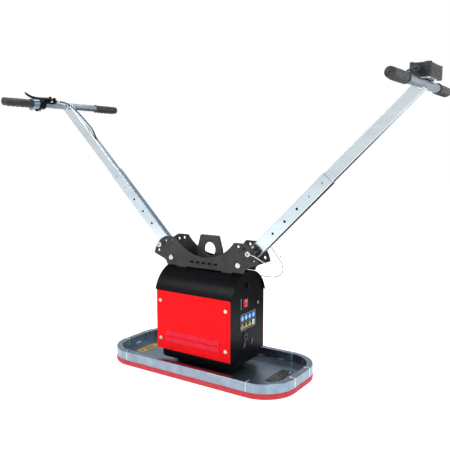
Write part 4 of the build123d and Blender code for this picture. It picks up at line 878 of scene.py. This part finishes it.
def lower_cable():
    """The thin cable from the right tube to the cover, one fixed tube along its route on no moving body."""
    guide = nurbs("lower_cable_guide", LOWER_ROUTE, LOWER_CABLE_DIAMETER, "grey_sheath")
    points = spline_points(guide)
    bpy.data.objects.remove(guide)
    rings = []
    side, up = frame_of(points[1] - points[0])
    for index, place in enumerate(points):
        before, after = points[max(index - 1, 0)], points[min(index + 1, len(points) - 1)]
        way = (after - before).normalized()
        side = (side - way * side.dot(way)).normalized()
        up = way.cross(side)
        rings.append(circle(place, side, up, LOWER_CABLE_DIAMETER / 2 * MM, 14))
    piece = Shape().loft(rings).finish("control_cable_slack", None, "grey_sheath", "grey_sheath")
    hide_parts("control_cable_lower")
    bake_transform(piece)


lower_cable()


# ---- floor, light and background ---------------------------------------------------------------
FLOOR_SIZE, FLOOR_DIVISIONS, FLOOR_DROP, FLOOR_GLOW = 24.0, 12, 0.0004, 0.62
CARD_DIVISIONS = 4


def grid_object(name, width, depth, divisions):
    """A flat grid round its own origin, in metres."""
    vertices, faces = [], []
    for row in range(divisions + 1):
        for column in range(divisions + 1):
            vertices.append((width * (column / divisions - 0.5), depth * (row / divisions - 0.5), 0.0))
    for row in range(divisions):
        for column in range(divisions):
            corner = row * (divisions + 1) + column
            faces.append((corner, corner + 1, corner + divisions + 2, corner + divisions + 1))
    mesh = bpy.data.meshes.new(name)
    mesh.from_pydata(vertices, [], faces)
    sheet = bpy.data.objects.new(name, mesh)
    scene.collection.objects.link(sheet)
    return sheet


def matt_paper(name, first, second, scale):
    made = Surface(name, specular=0.0)
    made.colour(first, second, scale)
    made.roughness(0.85, 0.95, 8.0)
    return made


def studio_floor():
    floor = grid_object("studio_floor", FLOOR_SIZE, FLOOR_SIZE, FLOOR_DIVISIONS)
    floor.location = (0.0, 0.0, -FLOOR_DROP)
    made = matt_paper("floor_paper", (0.93, 0.93, 0.93), (0.95, 0.95, 0.95), 3.0)
    made.shader.inputs["Emission Color"].default_value = (1.0, 1.0, 1.0, 1.0)
    made.shader.inputs["Emission Strength"].default_value = FLOOR_GLOW
    paint(floor, made.material)


def reflector(name, place, target, size, tone):
    """A dull card outside the picture that only shows in the polished surfaces."""
    card = grid_object(name, *size, CARD_DIVISIONS)
    card.location = place
    card.rotation_euler = (Vector(target) - Vector(place)).to_track_quat("Z", "Y").to_euler()
    made = matt_paper(name + "_paper", tuple(0.94 * part for part in tone), tone, 2.0)
    paint(card, made.material)
    card.visible_camera = False
    card.visible_diffuse = False
    card.visible_shadow = False
    card.visible_transmission = False


def soft_light(name, place, target, size, power, colour=(1, 1, 1)):
    data = bpy.data.lights.new(name, "AREA")
    data.shape = "RECTANGLE"
    data.size, data.size_y = size
    data.energy = power
    data.color = colour
    lamp = bpy.data.objects.new(name, data)
    lamp.location = place
    lamp.rotation_euler = (Vector(target) - Vector(place)).to_track_quat("-Z", "Y").to_euler()
    scene.collection.objects.link(lamp)


def studio_world():
    """White round the horizon, turning to a dim blue-grey overhead."""
    world = bpy.data.worlds.new("studio")
    scene.world = world
    world.use_nodes = True
    tree = world.node_tree
    place = node(tree, "ShaderNodeTexCoord")
    parts = node(tree, "ShaderNodeSeparateXYZ")
    tree.links.new(place.outputs["Generated"], parts.inputs["Vector"])
    factor = ranged(tree, parts.outputs["Z"], 0.0, 1.0, 0.28, 0.55)
    colour = blended(tree, factor, (1.0, 1.0, 1.0), (0.36, 0.42, 0.50))
    background = tree.nodes["Background"]
    tree.links.new(colour, background.inputs["Color"])
    background.inputs["Strength"].default_value = 1.0


studio_floor()
studio_world()
reflector("left_card", (-3.4, -0.4, 0.9), (0.0, 0.0, 0.5), (2.6, 1.6), (0.07, 0.08, 0.09))
reflector("high_card", (-1.3, 2.6, 2.2), (0.0, 0.0, 0.6), (3.6, 1.6), (0.05, 0.08, 0.11))
reflector("floor_card", (0.9, 1.5, 0.002), (0.9, 1.5, 1.0), (4.4, 1.7), (0.02, 0.02, 0.022))
soft_light("key", (-1.6, -2.6, 2.6), (0, 0, 0.35), (1.6, 1.2), 60.0)
soft_light("fill", (2.8, -1.2, 1.6), (0, 0, 0.4), (1.2, 1.6), 26.0)
soft_light("top", (0.2, 0.8, 2.6), (0, 0, 0.3), (2.0, 0.8), 24.0)
scene.view_settings.view_transform = "Standard"
scene.view_settings.look = "None"
